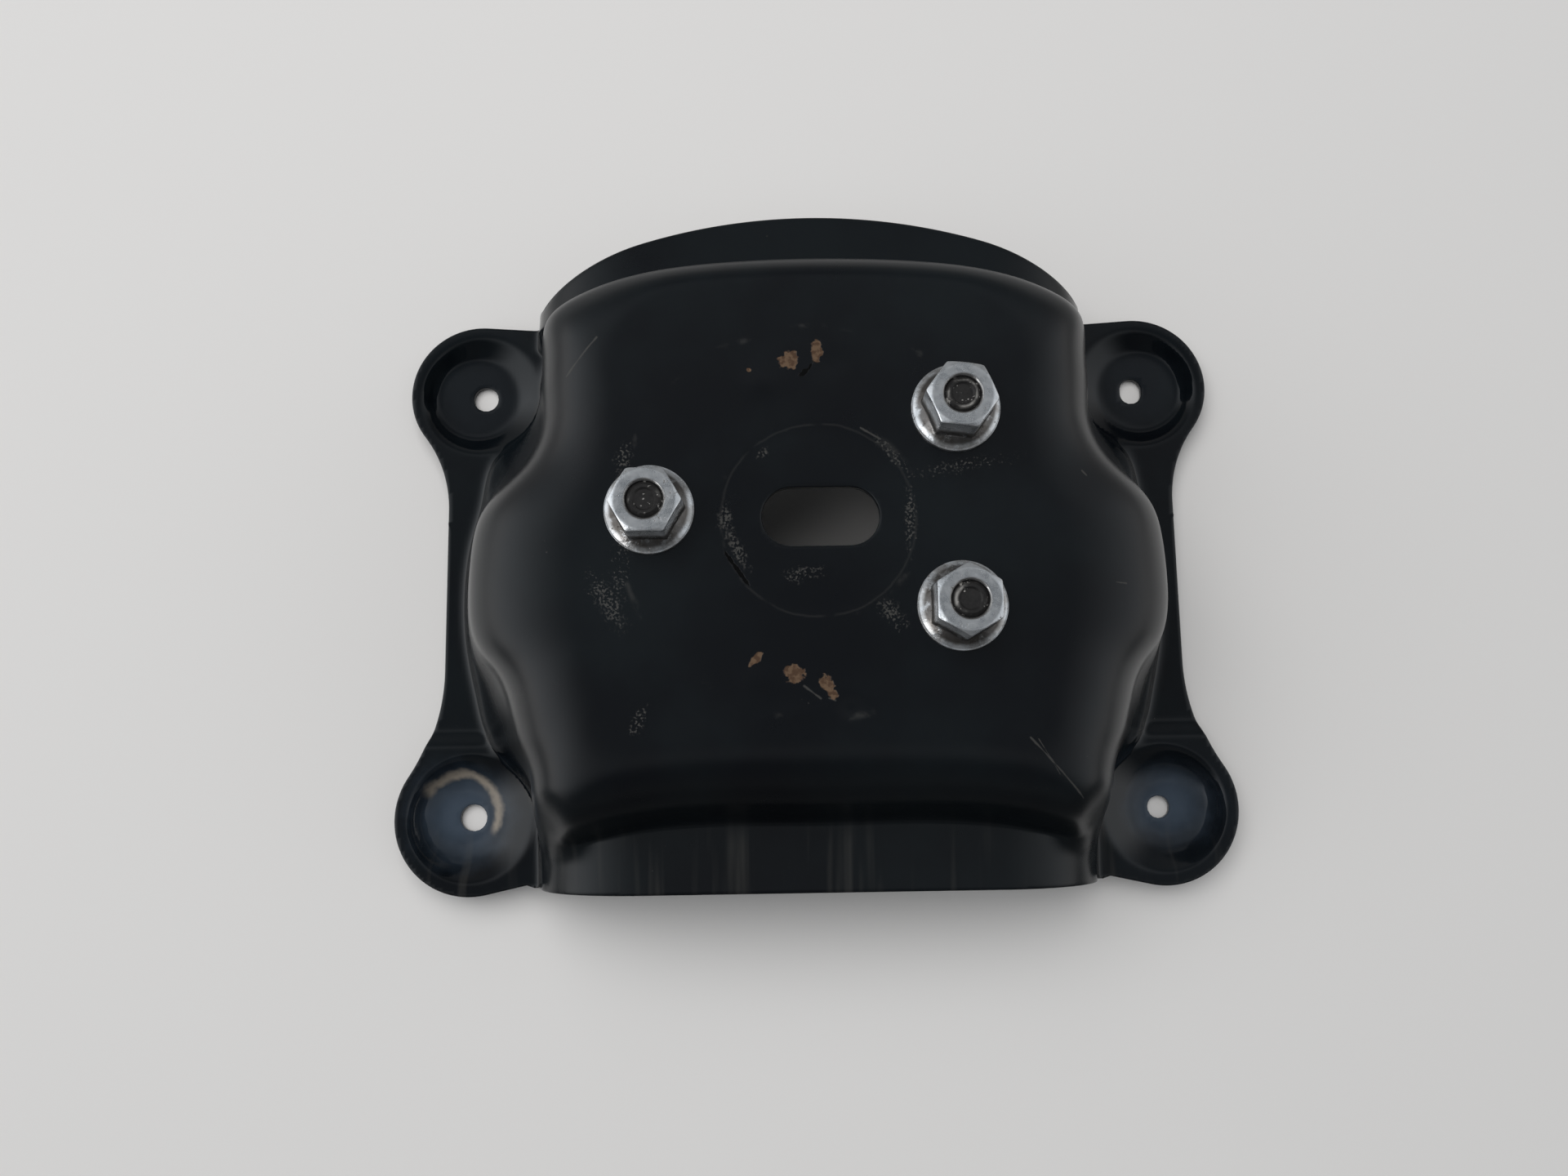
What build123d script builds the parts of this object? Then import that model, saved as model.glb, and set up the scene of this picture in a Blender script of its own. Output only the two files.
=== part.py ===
"""Pressed-steel dome bracket with four bolted feet, three wheel studs and three flange nuts.

A deep-drawn dome stands on four dished feet.  Its flat crown carries the studs, backed by a
stiffening plate, and an oval hand slot.  The dome is open at both ends, where a lower collar
of the same arched section makes the rim.

Frame: origin at the middle of the footprint, on the mounting plane.  +X runs across the width,
+Y runs towards the curved rim, +Z points out of the crown.  Millimetres.
"""
import os
from math import asin, atan2, cos, radians, sin, sqrt, tan

from build123d import *

# ---------------------------------------------------------------- driving dimensions
SHEET = 3.0                   # pressed sheet thickness
HEIGHT = 90.0                 # mounting plane to crown face

# feet and side flanges
FOOT_SPAN_X = 266.0           # foot centre to foot centre, across
FOOT_SPAN_Y = 169.0           # foot centre to foot centre, along
FEET_MID_Y = -13.2            # middle of the rectangle of foot centres
FRONT_FOOT_R = 28.4           # outer radius of the +Y feet
REAR_FOOT_R = 29.3            # outer radius of the -Y feet
SIDE_FLANGE_W = 8.9           # side flange's width outside the wall's foot at the belly
FRONT_WAIST_BLEND_R = 50.0    # plan fillet between flange edge and +Y foot
REAR_WAIST_BLEND_R = 75.0     # plan fillet between flange edge and -Y foot
FLANGE_Z = 9.0                # top of the side flanges and of the +Y feet
REAR_FLANGE_Z = 13.0          # top of the -Y feet
FLANGE_STEP_Y = -67.2         # middle of the step between the two levels
FLANGE_STEP_RUN = 6.0         # length of that step

# dished cups in the feet
FRONT_CUP_FLOOR_R = 16.6
FRONT_CUP_RIM_R = 24.2
FRONT_CUP_SHIFT = 3.0         # cup's floor further out than its rim
REAR_CUP_FLAT_R = 10.0        # flat seat in the middle of the dish
REAR_CUP_DISH_R = 16.2        # where the dish turns up into the cup's side
REAR_CUP_DISH_RISE = 2.3
REAR_CUP_RIM_R = 24.2
REAR_CUP_SHIFT = 4.5          # dish further out than the cup's rim
CUP_LEDGE = 0.4               # flat left between a cup's rim and any wall cut back above it

# foot holes
HOLE_SPAN_FRONT = 265.4       # +Y holes, across
HOLE_SPAN_REAR = 268.6        # -Y holes, across
HOLE_FRONT_LEFT_D = 10.0
HOLE_REAR_LEFT_D = 10.4
HOLE_REAR_RIGHT_D = 8.8
HOLE_FRONT_RIGHT_W = 8.8      # width of the oblong hole
HOLE_FRONT_RIGHT_L = 10.4     # length of the oblong hole, along Y

# dome: the edge of the flat crown, the foot of its rounded shoulder and the foot of its wall
CROWN_FRONT_Y = 86.2          # edge of the flat crown: +Y end
CROWN_REAR_Y = -69.6          # -Y end
SHOULDER_DROP = 28.0          # height of the rounded shoulder
NECK_SHOULDER_W = 29.4        # plan width of the shoulder beside the +Y feet
BELLY_SHOULDER_W = 41.3       # at the belly
REAR_NECK_SHOULDER_W = 31.0   # beside the -Y feet
DOME_FRONT_Y = 101.7          # foot of the shoulder: +Y end
DOME_REAR_Y = -95.6           # -Y end
NECK_TO_CUP = 9.9             # foot of the shoulder to the rim of a +Y cup
REAR_NECK_TO_CUP = 2.3        # foot of the shoulder, where it meets the -Y cups' width
BELLY_HALF_W = 123.6          # foot of the shoulder at the belly
BELLY_Y = -14.7               # where the belly is widest
WALL_RUN = 12.9               # how far the side walls stand out below the shoulder's foot
WALL_FOOT_Z = 12.0            # where the walls' flare begins
CUP_TO_WALL = 1.4             # wall's foot outside a cup's rim
WALL_DRAFT = 8.0              # degrees that the end walls and the collar lean in

# arched collar at both open ends
COLLAR_Z = 54.0               # top of the collar where the dome meets it
COLLAR_FALL = 4.5             # drop from there to the rim
COLLAR_FLAT_HALF_W = 64.0
COLLAR_FRONT_SHOULDER = 43.5  # plan width of the collar's own shoulder, +Y end
COLLAR_REAR_SHOULDER = 41.0   # -Y end
COLLAR_DROP = 32.0            # height of the collar's own shoulder
COLLAR_FLARE = 1.5            # plan width of the 45 degree flare at the collar's foot
RIM_RISE = 29.2               # how far the curved +Y rim bulges past its own corners
FRONT_CORNER_IN = 28.8        # curved rim's corner inside the centre of the +Y foot
FRONT_CORNER_PAST = 26.5      # and past it in Y
REAR_CORNER_IN = 22.0         # straight -Y rim's corner inside the centre of the -Y foot
REAR_RIM_PAST = 26.2          # straight rim past that centre in Y
REAR_NOTCH = 1.0              # step between the -Y rim and the feet

# crown fittings
STUD_CIRCLE_D = 114.3
STUD_ANGLES = (180.0, 36.0, -36.0)
STUD_Y = 5.6                  # middle of the stud circle
SLOT_L = 39.5
SLOT_W = 20.0
SLOT_Y = 2.9                  # middle of the slot
PLATE_T = 3.0                 # backing plate
PLATE_L = 138.0
PLATE_W = 122.0
PLATE_CORNER_R = 30.0
PLATE_SLOT_MARGIN = 0.6       # backing plate's slot larger all round than the crown's

# wheel studs
THREAD_D = 12.0
STUD_TOP = 17.9               # stud tip above the crown face
STUD_CHAMFER = 1.3
STUD_DIMPLE_D = 7.7           # shallow dish in the tip
STUD_DIMPLE_DEPTH = 0.6
STUD_DIMPLE_TAPER = 45.0
STUD_COLLAR_D = 13.0          # pressed collar through the crown and the backing plate
STUD_COLLAR_SINK = 0.3        # collar stops this far below the crown face
STUD_FIT_GAP = 0.05           # collar to its holes, all round
STUD_HEAD_D = 20.0
STUD_HEAD_H = 3.5
STUD_HEAD_CHAMFER = 0.7

# flange nuts
NUT_AF = 21.0                 # across the flats
NUT_H = 18.1
NUT_TURN = (0.0, 16.0, 30.0)  # hexagon angle of each nut
NUT_BEVEL_ANGLE = 30.0
NUT_TOP_BEVEL = 0.4           # bevel's top edge inside the flats
NUT_FLANGE_D = 30.1
NUT_FLANGE_EDGE = 1.7         # height of the flange's rim
NUT_FLANGE_H = 4.8            # seat to where the flange meets the flats
NUT_FLANGE_BREAK = 0.5        # ledge between the rim and the flange's slope
NUT_MOUTH_D = 13.4            # countersink in the top
NUT_MOUTH_ANGLE = 90.0
THREAD_GAP = 0.1              # stud to nut, all round

# ---------------------------------------------------------------- worked-out sizes
FOOT_X = FOOT_SPAN_X / 2
FRONT_Y = FEET_MID_Y + FOOT_SPAN_Y / 2
REAR_Y = FEET_MID_Y - FOOT_SPAN_Y / 2
FRONT_FEET = [(-FOOT_X, FRONT_Y), (FOOT_X, FRONT_Y)]
REAR_FEET = [(-FOOT_X, REAR_Y), (FOOT_X, REAR_Y)]
RIM_FRONT_HALF_W = FOOT_X - FRONT_CORNER_IN
RIM_FRONT_CORNER_Y = FRONT_Y + FRONT_CORNER_PAST
RIM_FRONT_Y = RIM_FRONT_CORNER_Y + RIM_RISE
RIM_REAR_HALF_W = FOOT_X - REAR_CORNER_IN
RIM_REAR_Y = REAR_Y - REAR_RIM_PAST
NECK_HALF_W = FOOT_X - FRONT_CUP_RIM_R - NECK_TO_CUP
REAR_NECK_HALF_W = FOOT_X - REAR_CUP_RIM_R - REAR_NECK_TO_CUP
WALL_FOOT_HALF_W = BELLY_HALF_W + WALL_RUN
WAIST_HALF_W = WALL_FOOT_HALF_W + SIDE_FLANGE_W
# a cup's circles from its floor up: (how far out from the foot's centre, radius, height)
FRONT_CUP = [
    (FRONT_CUP_SHIFT, FRONT_CUP_FLOOR_R, SHEET),
    (0.0, FRONT_CUP_RIM_R, FLANGE_Z),
]
REAR_CUP = [
    (REAR_CUP_SHIFT, REAR_CUP_FLAT_R, SHEET),
    (REAR_CUP_SHIFT, REAR_CUP_DISH_R, SHEET + REAR_CUP_DISH_RISE),
    (0.0, REAR_CUP_RIM_R, REAR_FLANGE_Z),
]
BELOW = 1.0                   # how far cutting solids run past a face
CLEAR_TOP = HEIGHT + 10       # above everything in the pressing
COLLAR_PAST = 12.0            # how far the collar's block runs past its rim and its crease
SLAB_REACH = 200.0            # past the widest part of the plan
SHOULDER_END = 90 - WALL_DRAFT    # shoulder angle at which the wall takes over
SHOULDER_STEPS = [SHOULDER_END * step / 8 for step in range(9)]
DRAFT = tan(radians(WALL_DRAFT))
LEAN = 1 / cos(radians(WALL_DRAFT))   # sheet thickness measured level, per unit of thickness


def around_cup(foot, rim_r, angle):
    """Point of a wall's foot beside a cup's rim, at this angle about the foot's hole."""
    reach = rim_r + CUP_TO_WALL
    return foot[0] + reach * cos(radians(angle)), foot[1] + reach * sin(radians(angle))


def dome_outlines():
    """Right half of the dome's three plan curves, matched point by point from the +Y end to
    the -Y end: edge of the flat crown, foot of the shoulder, foot of the wall."""
    neck = NECK_HALF_W - NECK_SHOULDER_W
    belly = BELLY_HALF_W - BELLY_SHOULDER_W
    rear_neck = REAR_NECK_HALF_W - REAR_NECK_SHOULDER_W
    front, rear = CROWN_FRONT_Y, CROWN_REAR_Y
    crown = [
        (0, front), (36.5, front - 1.5), (58.5, front - 7), (67.5, front - 17),
        (neck + 0.8, front - 26.5), (neck + 0.8, front - 33.5), (neck, front - 41.5),
        (neck, BELLY_Y + 49), (neck + 2.5, BELLY_Y + 34), (belly - 5, BELLY_Y + 23),
        (belly - 1.6, BELLY_Y + 16), (belly - 0.3, BELLY_Y + 8), (belly, BELLY_Y),
        (belly - 0.4, BELLY_Y - 9), (belly - 1.2, BELLY_Y - 17), (belly - 3, BELLY_Y - 24.5),
        (rear_neck + 2.2, BELLY_Y - 33.5), (rear_neck, BELLY_Y - 44.5),
        (rear_neck - 1, rear + 2.7), (rear_neck - 3.8, rear - 0.6),
        (rear_neck - 8.5, rear - 2), (rear_neck - 17, rear - 1.8),
        (rear_neck - 32, rear - 0.9), (0, rear),
    ]
    neck, belly, rear_neck = NECK_HALF_W, BELLY_HALF_W, REAR_NECK_HALF_W
    front, rear = DOME_FRONT_Y, DOME_REAR_Y
    dome = [
        (0, front), (38, front - 1.5), (66, front - 5.2), (neck - 12.9, front - 11.5),
        (neck - 1.5, front - 20.5), (neck - 0.2, front - 33.7), (neck, front - 47.7),
        (neck, BELLY_Y + 56), (neck + 5.7, BELLY_Y + 43), (belly - 10.8, BELLY_Y + 34.5),
        (belly - 3.5, BELLY_Y + 24.5), (belly - 0.8, BELLY_Y + 13), (belly, BELLY_Y),
        (belly - 0.5, BELLY_Y - 12.5), (belly - 4.1, BELLY_Y - 23.5),
        (belly - 10.3, BELLY_Y - 31.5), (rear_neck + 2.8, BELLY_Y - 40.5),
        (rear_neck - 0.2, BELLY_Y - 52), (rear_neck - 4.7, BELLY_Y - 64),
        (rear_neck - 7.2, rear + 5.1), (rear_neck - 11.5, rear - 5.6),
        (rear_neck - 22.5, rear - 6), (rear_neck - 42.5, rear - 2), (0, rear),
    ]
    side = WALL_FOOT_HALF_W
    out = (HEIGHT - SHOULDER_DROP - WALL_FOOT_Z) * DRAFT
    wall = [
        (0, front + out), (40, front - 1.5 + out), (68, front - 5.5 + out),
        (neck - 9.4, front - 12.2 + out), (neck + 6.1, front - 22 + out),
        around_cup(FRONT_FEET[1], FRONT_CUP_RIM_R, 188),
        around_cup(FRONT_FEET[1], FRONT_CUP_RIM_R, 212),
        around_cup(FRONT_FEET[1], FRONT_CUP_RIM_R, 236),
        (side - 10.5, BELLY_Y + 57.5), (side - 6, BELLY_Y + 40), (side - 2.5, BELLY_Y + 26),
        (side - 0.4, BELLY_Y + 12), (side, BELLY_Y - 1), (side - 0.8, BELLY_Y - 13),
        (side - 3, BELLY_Y - 26), (side - 5.8, BELLY_Y - 38), (side - 9.3, BELLY_Y - 50),
        around_cup(REAR_FEET[1], REAR_CUP_RIM_R, 124),
        around_cup(REAR_FEET[1], REAR_CUP_RIM_R, 150),
        (rear_neck - 1.3, rear - 1.9), (rear_neck - 6.5, rear - 5.9 - out),
        (rear_neck - 20.5, rear - 6 - out), (rear_neck - 41.5, rear - 2 - out),
        (0, rear - out),
    ]
    return crown, dome, wall


def closed_ring(half, out):
    """A half outline mirrored to a closed one, each point moved this far along its normal.
    out is one length, or one length for each point of the half."""
    outs = out if isinstance(out, list) else [out] * len(half)
    before = [(-half[1][0], half[1][1])] + half[:-1]
    after = half[1:] + [(-half[-2][0], half[-2][1])]
    right = []
    for (x, y), (x0, y0), (x1, y1), step in zip(half, before, after, outs):
        along = sqrt((x1 - x0) ** 2 + (y1 - y0) ** 2)
        right.append((x + step * (y0 - y1) / along, y + step * (x1 - x0) / along))
    return right + [(-x, y) for x, y in reversed(right[1:-1])]


def shoulder_point(angle):
    """How far out and down the shoulder is, as shares of its plan width and of its height,
    where its face has tilted by this many degrees from level."""
    end = radians(SHOULDER_END)
    return sin(radians(angle)) / sin(end), (1 - cos(radians(angle))) / (1 - cos(end))


def dome_block(inset):
    """Solid under the dome's outer face, or under its inner face when inset by the sheet."""
    crown, dome, wall = dome_outlines()
    wall_top = HEIGHT - SHOULDER_DROP
    wall_h = wall_top - WALL_FOOT_Z
    level_inset = [
        -inset * sqrt(1 + ((xf - x) ** 2 + (yf - y) ** 2) / wall_h**2)
        for (x, y), (xf, yf) in zip(dome, wall, strict=True)
    ]
    with BuildPart() as block:
        for angle in SHOULDER_STEPS:
            reach, fall = shoulder_point(angle)
            ring = [
                (x0 + (x1 - x0) * reach, y0 + (y1 - y0) * reach)
                for (x0, y0), (x1, y1) in zip(crown, dome, strict=True)
            ]
            level = HEIGHT - inset - (SHOULDER_DROP - inset) * fall
            with BuildSketch(Plane.XY.offset(level)):
                with BuildLine():
                    Spline(*closed_ring(ring, [step * reach for step in level_inset]), periodic=True)
                make_face()
        loft()
        flare = -inset * sqrt(2)
        for half, out, z in (
            (dome, level_inset, wall_top),
            (wall, flare, WALL_FOOT_Z),
            (wall, flare + WALL_FOOT_Z + BELOW, -BELOW),
        ):
            with BuildSketch(Plane.XY.offset(z)):
                with BuildLine():
                    Spline(*closed_ring(half, out), periodic=True)
                make_face()
        loft(ruled=True)
    return block.part


def collar_foot(wall_top_z, inset):
    """(out, z) down the collar's wall: its top, the start of its flare, and its lower end."""
    flare_line = (wall_top_z - FLANGE_Z) * DRAFT + COLLAR_FLARE + FLANGE_Z - inset * sqrt(2)
    flare_z = (flare_line + inset * LEAN - wall_top_z * DRAFT) / (1 - DRAFT)
    return [
        (-inset * LEAN, wall_top_z),
        (flare_line - flare_z, flare_z),
        (flare_line + BELOW, -BELOW),
    ]


def collar_block(inset):
    """Arched tunnel that makes the collar at both ends, run on past the rims and into the
    dome."""
    front_slope = COLLAR_FALL / (RIM_FRONT_Y - DOME_FRONT_Y)
    rear_slope = COLLAR_FALL / (DOME_REAR_Y - RIM_REAR_Y)
    stations = (
        (RIM_FRONT_Y + COLLAR_PAST, DOME_FRONT_Y, -front_slope, COLLAR_FRONT_SHOULDER),
        (DOME_FRONT_Y - COLLAR_PAST, DOME_FRONT_Y, -front_slope, COLLAR_FRONT_SHOULDER),
        (DOME_REAR_Y + COLLAR_PAST, DOME_REAR_Y, rear_slope, COLLAR_REAR_SHOULDER),
        (RIM_REAR_Y - COLLAR_PAST, DOME_REAR_Y, rear_slope, COLLAR_REAR_SHOULDER),
    )
    share = shoulder_point(90)
    radius_z = (COLLAR_DROP - inset) * share[1]
    with BuildPart() as block:
        for y, crease_y, slope, shoulder in stations:
            top = COLLAR_Z + slope * (y - crease_y)
            radius_x = (shoulder - inset * LEAN) * share[0]
            outs = collar_foot(top - COLLAR_DROP, inset)
            side = COLLAR_FLAT_HALF_W + shoulder
            with BuildSketch(Plane.XZ.offset(-y)):
                with BuildLine():
                    Line((0, top - inset), (COLLAR_FLAT_HALF_W, top - inset))
                    EllipticalCenterArc(
                        (COLLAR_FLAT_HALF_W, top - inset - radius_z),
                        radius_x,
                        radius_z,
                        start_angle=WALL_DRAFT,
                        arc_size=SHOULDER_END,
                    )
                    Polyline(*[(side + out, z) for out, z in outs], (0, -BELOW))
                    mirror(about=Plane.YZ)
                make_face()
        loft(ruled=True)
    return block.part


def flange_block(inset):
    """Slab under the flanges and feet, with the step up to the -Y feet."""
    tilt = atan2(REAR_FLANGE_Z - FLANGE_Z, FLANGE_STEP_RUN)
    shift = inset * tan(tilt / 2)
    low_y = FLANGE_STEP_Y + FLANGE_STEP_RUN / 2 - shift
    high_y = FLANGE_STEP_Y - FLANGE_STEP_RUN / 2 - shift
    with BuildPart() as block:
        with BuildSketch(Plane.YZ):
            with BuildLine():
                Polyline(
                    (-SLAB_REACH, -BELOW),
                    (-SLAB_REACH, REAR_FLANGE_Z - inset),
                    (high_y, REAR_FLANGE_Z - inset),
                    (low_y, FLANGE_Z - inset),
                    (SLAB_REACH, FLANGE_Z - inset),
                    (SLAB_REACH, -BELOW),
                    close=True,
                )
            make_face()
        extrude(amount=SLAB_REACH, both=True)
    return block.part


def mitred(profile, inset):
    """A profile of (r, z) points moved down through the sheet by inset, its corners mitred."""
    slopes = [0.0]
    for (r0, z0), (r1, z1) in zip(profile, profile[1:]):
        slopes.append(atan2(z1 - z0, r1 - r0))
    slopes.append(0.0)
    moved = []
    for (r, z), before, after in zip(profile, slopes, slopes[1:]):
        turn = 1 + cos(before - after)
        moved.append((
            r + inset * (sin(before) + sin(after)) / turn,
            z - inset * (cos(before) + cos(after)) / turn,
        ))
    return moved


def cup_cutter(foot, circles, inset):
    """Room inside and above a cup.  Its circles run from the floor to the rim, and the upper
    ones sit nearer the dome; inset moves the faces out through the sheet, to the underside."""
    side = 1 if foot[0] > 0 else -1
    outer = mitred([(radius + shift, z) for shift, radius, z in circles], inset)
    inner = mitred([(radius - shift, z) for shift, radius, z in circles], inset)
    with BuildPart() as cutter:
        for (r_out, z_out), (r_in, z_in) in zip(outer, inner):
            middle = foot[0] + side * (r_out - r_in) / 2
            with BuildSketch(Plane((middle, foot[1], (z_out + z_in) / 2))):
                Circle((r_out + r_in) / 2)
        loft(ruled=True)
        with BuildSketch(Plane((foot[0], foot[1], circles[-1][2] - inset))):
            Circle(circles[-1][1] + CUP_LEDGE + inset)
        extrude(amount=CLEAR_TOP)
    return cutter.part


def full_block(inset):
    """Everything under the pressing's outer face, or its inner face, before it is trimmed."""
    with BuildPart() as block:
        add(dome_block(inset))
        add(collar_block(inset))
        add(flange_block(inset))
        for feet, circles in ((FRONT_FEET, FRONT_CUP), (REAR_FEET, REAR_CUP)):
            for foot in feet:
                add(cup_cutter(foot, circles, inset), mode=Mode.SUBTRACT)
    return block.part


def touch_point(corner, centre, radius, side):
    """Where a straight line from a corner touches a circle, on its +Y (1) or -Y (-1) side."""
    dx, dy = centre[0] - corner[0], centre[1] - corner[1]
    turn = atan2(dy, dx) + side * asin(radius / sqrt(dx**2 + dy**2))
    return centre[0] - side * radius * sin(turn), centre[1] + side * radius * cos(turn)


def plan_outline():
    """Trimmed outline of the whole pressing, seen from above."""
    front_corner = (RIM_FRONT_HALF_W, RIM_FRONT_CORNER_Y)
    rear_corner = (RIM_REAR_HALF_W, RIM_REAR_Y + REAR_NOTCH)
    with BuildSketch() as plan:
        with Locations(*FRONT_FEET):
            Circle(FRONT_FOOT_R)
        with Locations(*REAR_FEET):
            Circle(REAR_FOOT_R)
        with BuildLine():
            TangentArc((0, RIM_FRONT_Y), front_corner, tangent=(1, 0))
            Polyline(
                front_corner,
                touch_point(front_corner, FRONT_FEET[1], FRONT_FOOT_R, 1),
                FRONT_FEET[1],
                REAR_FEET[1],
                touch_point(rear_corner, REAR_FEET[1], REAR_FOOT_R, -1),
                rear_corner,
                (RIM_REAR_HALF_W - 2 * REAR_NOTCH, RIM_REAR_Y),
                (0, RIM_REAR_Y),
            )
            mirror(about=Plane.YZ)
        make_face()
        with Locations((0, FEET_MID_Y)):
            Rectangle(2 * WAIST_HALF_W, FOOT_SPAN_Y)
        waist = [v for v in plan.vertices() if abs(abs(v.X) - WAIST_HALF_W) < 0.01]
        fillet([v for v in waist if v.Y > FEET_MID_Y], FRONT_WAIST_BLEND_R)
        waist = [v for v in plan.vertices() if abs(abs(v.X) - WAIST_HALF_W) < 0.01]
        fillet([v for v in waist if v.Y < REAR_Y + FOOT_SPAN_Y / 4], REAR_WAIST_BLEND_R)
    return plan.sketch


# ---------------------------------------------------------------- pressed shell
os.makedirs("parts", exist_ok=True)

outer_block = full_block(0)
inner_block = full_block(SHEET)
stud_places = [
    (STUD_CIRCLE_D / 2 * cos(radians(angle)), STUD_Y + STUD_CIRCLE_D / 2 * sin(radians(angle)))
    for angle in STUD_ANGLES
]

with BuildPart() as bracket_shell:
    add(outer_block)
    with BuildSketch():
        add(plan_outline())
    extrude(amount=CLEAR_TOP, mode=Mode.INTERSECT)
    add(inner_block, mode=Mode.SUBTRACT)
    with BuildSketch(Plane.XY.offset(HEIGHT)):
        with Locations((0, SLOT_Y)):
            SlotOverall(SLOT_L, SLOT_W)
        with Locations(*stud_places):
            Circle(STUD_COLLAR_D / 2 + STUD_FIT_GAP)
    extrude(amount=-2 * SHEET, mode=Mode.SUBTRACT)
    with BuildSketch():
        with Locations((-HOLE_SPAN_FRONT / 2, FRONT_Y)):
            Circle(HOLE_FRONT_LEFT_D / 2)
        with Locations((HOLE_SPAN_FRONT / 2, FRONT_Y)):
            SlotOverall(HOLE_FRONT_RIGHT_L, HOLE_FRONT_RIGHT_W, rotation=90)
        with Locations((-HOLE_SPAN_REAR / 2, REAR_Y)):
            Circle(HOLE_REAR_LEFT_D / 2)
        with Locations((HOLE_SPAN_REAR / 2, REAR_Y)):
            Circle(HOLE_REAR_RIGHT_D / 2)
    extrude(amount=2 * SHEET, mode=Mode.SUBTRACT)
bracket_shell.part.label = "bracket_shell"
export_step(bracket_shell.part, "parts/bracket_shell.step")

# ---------------------------------------------------------------- backing plate
plate_top = HEIGHT - SHEET
plate_bottom = plate_top - PLATE_T

with BuildPart() as backing_plate:
    with BuildSketch(Plane.XY.offset(plate_bottom)):
        with Locations((0, STUD_Y)):
            RectangleRounded(PLATE_L, PLATE_W, PLATE_CORNER_R)
        with Locations((0, SLOT_Y)):
            slot_size = (SLOT_L + 2 * PLATE_SLOT_MARGIN, SLOT_W + 2 * PLATE_SLOT_MARGIN)
            SlotOverall(*slot_size, mode=Mode.SUBTRACT)
        with Locations(*stud_places):
            Circle(STUD_COLLAR_D / 2 + STUD_FIT_GAP, mode=Mode.SUBTRACT)
    extrude(amount=PLATE_T)
backing_plate.part.label = "backing_plate"
export_step(backing_plate.part, "parts/backing_plate.step")

# ---------------------------------------------------------------- wheel studs
for number, (x, y) in enumerate(stud_places, 1):
    with BuildPart() as stud:
        with BuildSketch(Plane((x, y, plate_bottom))):
            Circle(STUD_HEAD_D / 2)
        extrude(amount=-STUD_HEAD_H)
        chamfer(stud.edges().group_by(Axis.Z)[0], STUD_HEAD_CHAMFER)
        with BuildSketch(Plane((x, y, plate_bottom))):
            Circle(STUD_COLLAR_D / 2)
        extrude(amount=PLATE_T + SHEET - STUD_COLLAR_SINK)
        with BuildSketch(Plane((x, y, HEIGHT - STUD_COLLAR_SINK))):
            Circle(THREAD_D / 2)
        extrude(amount=STUD_TOP + STUD_COLLAR_SINK)
        chamfer(stud.edges().group_by(Axis.Z)[-1], STUD_CHAMFER)
        with BuildSketch(Plane((x, y, HEIGHT + STUD_TOP))):
            Circle(STUD_DIMPLE_D / 2)
        extrude(amount=-STUD_DIMPLE_DEPTH, taper=STUD_DIMPLE_TAPER, mode=Mode.SUBTRACT)
    stud.part.label = f"stud_{number}"
    export_step(stud.part, f"parts/stud_{number}.step")

# ---------------------------------------------------------------- flange nuts
for number, ((x, y), turn) in enumerate(zip(stud_places, NUT_TURN), 1):
    seat = Plane((x, y, HEIGHT))
    top_r = NUT_AF / 2 - NUT_TOP_BEVEL
    with BuildPart(seat) as nut:
        with BuildSketch(seat):
            RegularPolygon(NUT_AF / 2, 6, major_radius=False, rotation=turn)
        extrude(amount=NUT_H)
        Cone(
            top_r + NUT_H / tan(radians(NUT_BEVEL_ANGLE)),
            top_r,
            NUT_H,
            align=(Align.CENTER, Align.CENTER, Align.MIN),
            mode=Mode.INTERSECT,
        )
        with BuildSketch(seat):
            Circle(NUT_FLANGE_D / 2)
        extrude(amount=NUT_FLANGE_EDGE)
        with Locations((0, 0, NUT_FLANGE_EDGE)):
            Cone(
                NUT_FLANGE_D / 2 - NUT_FLANGE_BREAK,
                NUT_AF / 2,
                NUT_FLANGE_H - NUT_FLANGE_EDGE,
                align=(Align.CENTER, Align.CENTER, Align.MIN),
            )
        bore_d = THREAD_D + 2 * THREAD_GAP
        with Locations((0, 0, NUT_H)):
            CounterSinkHole(bore_d / 2, NUT_MOUTH_D / 2, counter_sink_angle=NUT_MOUTH_ANGLE)
    nut.part.label = f"nut_{number}"
    export_step(nut.part, f"parts/nut_{number}.step")
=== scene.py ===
"""Looks of the pressed dome bracket: its glossy black shell, backing plate, studs and nuts.

Sizes are written in millimetres, as a maker would measure the part, and turned to metres where
each mesh is made.
"""

import bpy
import numpy as np
from mathutils import Euler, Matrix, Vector


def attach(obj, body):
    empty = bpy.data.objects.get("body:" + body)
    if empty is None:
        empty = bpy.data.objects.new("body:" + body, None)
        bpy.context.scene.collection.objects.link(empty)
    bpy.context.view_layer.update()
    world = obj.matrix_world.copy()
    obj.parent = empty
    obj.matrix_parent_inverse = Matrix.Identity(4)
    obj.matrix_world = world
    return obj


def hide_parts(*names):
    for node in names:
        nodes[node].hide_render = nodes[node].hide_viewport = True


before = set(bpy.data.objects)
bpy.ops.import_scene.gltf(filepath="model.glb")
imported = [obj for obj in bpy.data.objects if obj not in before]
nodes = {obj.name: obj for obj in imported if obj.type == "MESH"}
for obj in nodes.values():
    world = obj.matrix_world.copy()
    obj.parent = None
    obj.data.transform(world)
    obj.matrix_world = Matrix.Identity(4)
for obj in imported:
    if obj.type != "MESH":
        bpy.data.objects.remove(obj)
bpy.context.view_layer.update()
MM = 0.001

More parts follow.
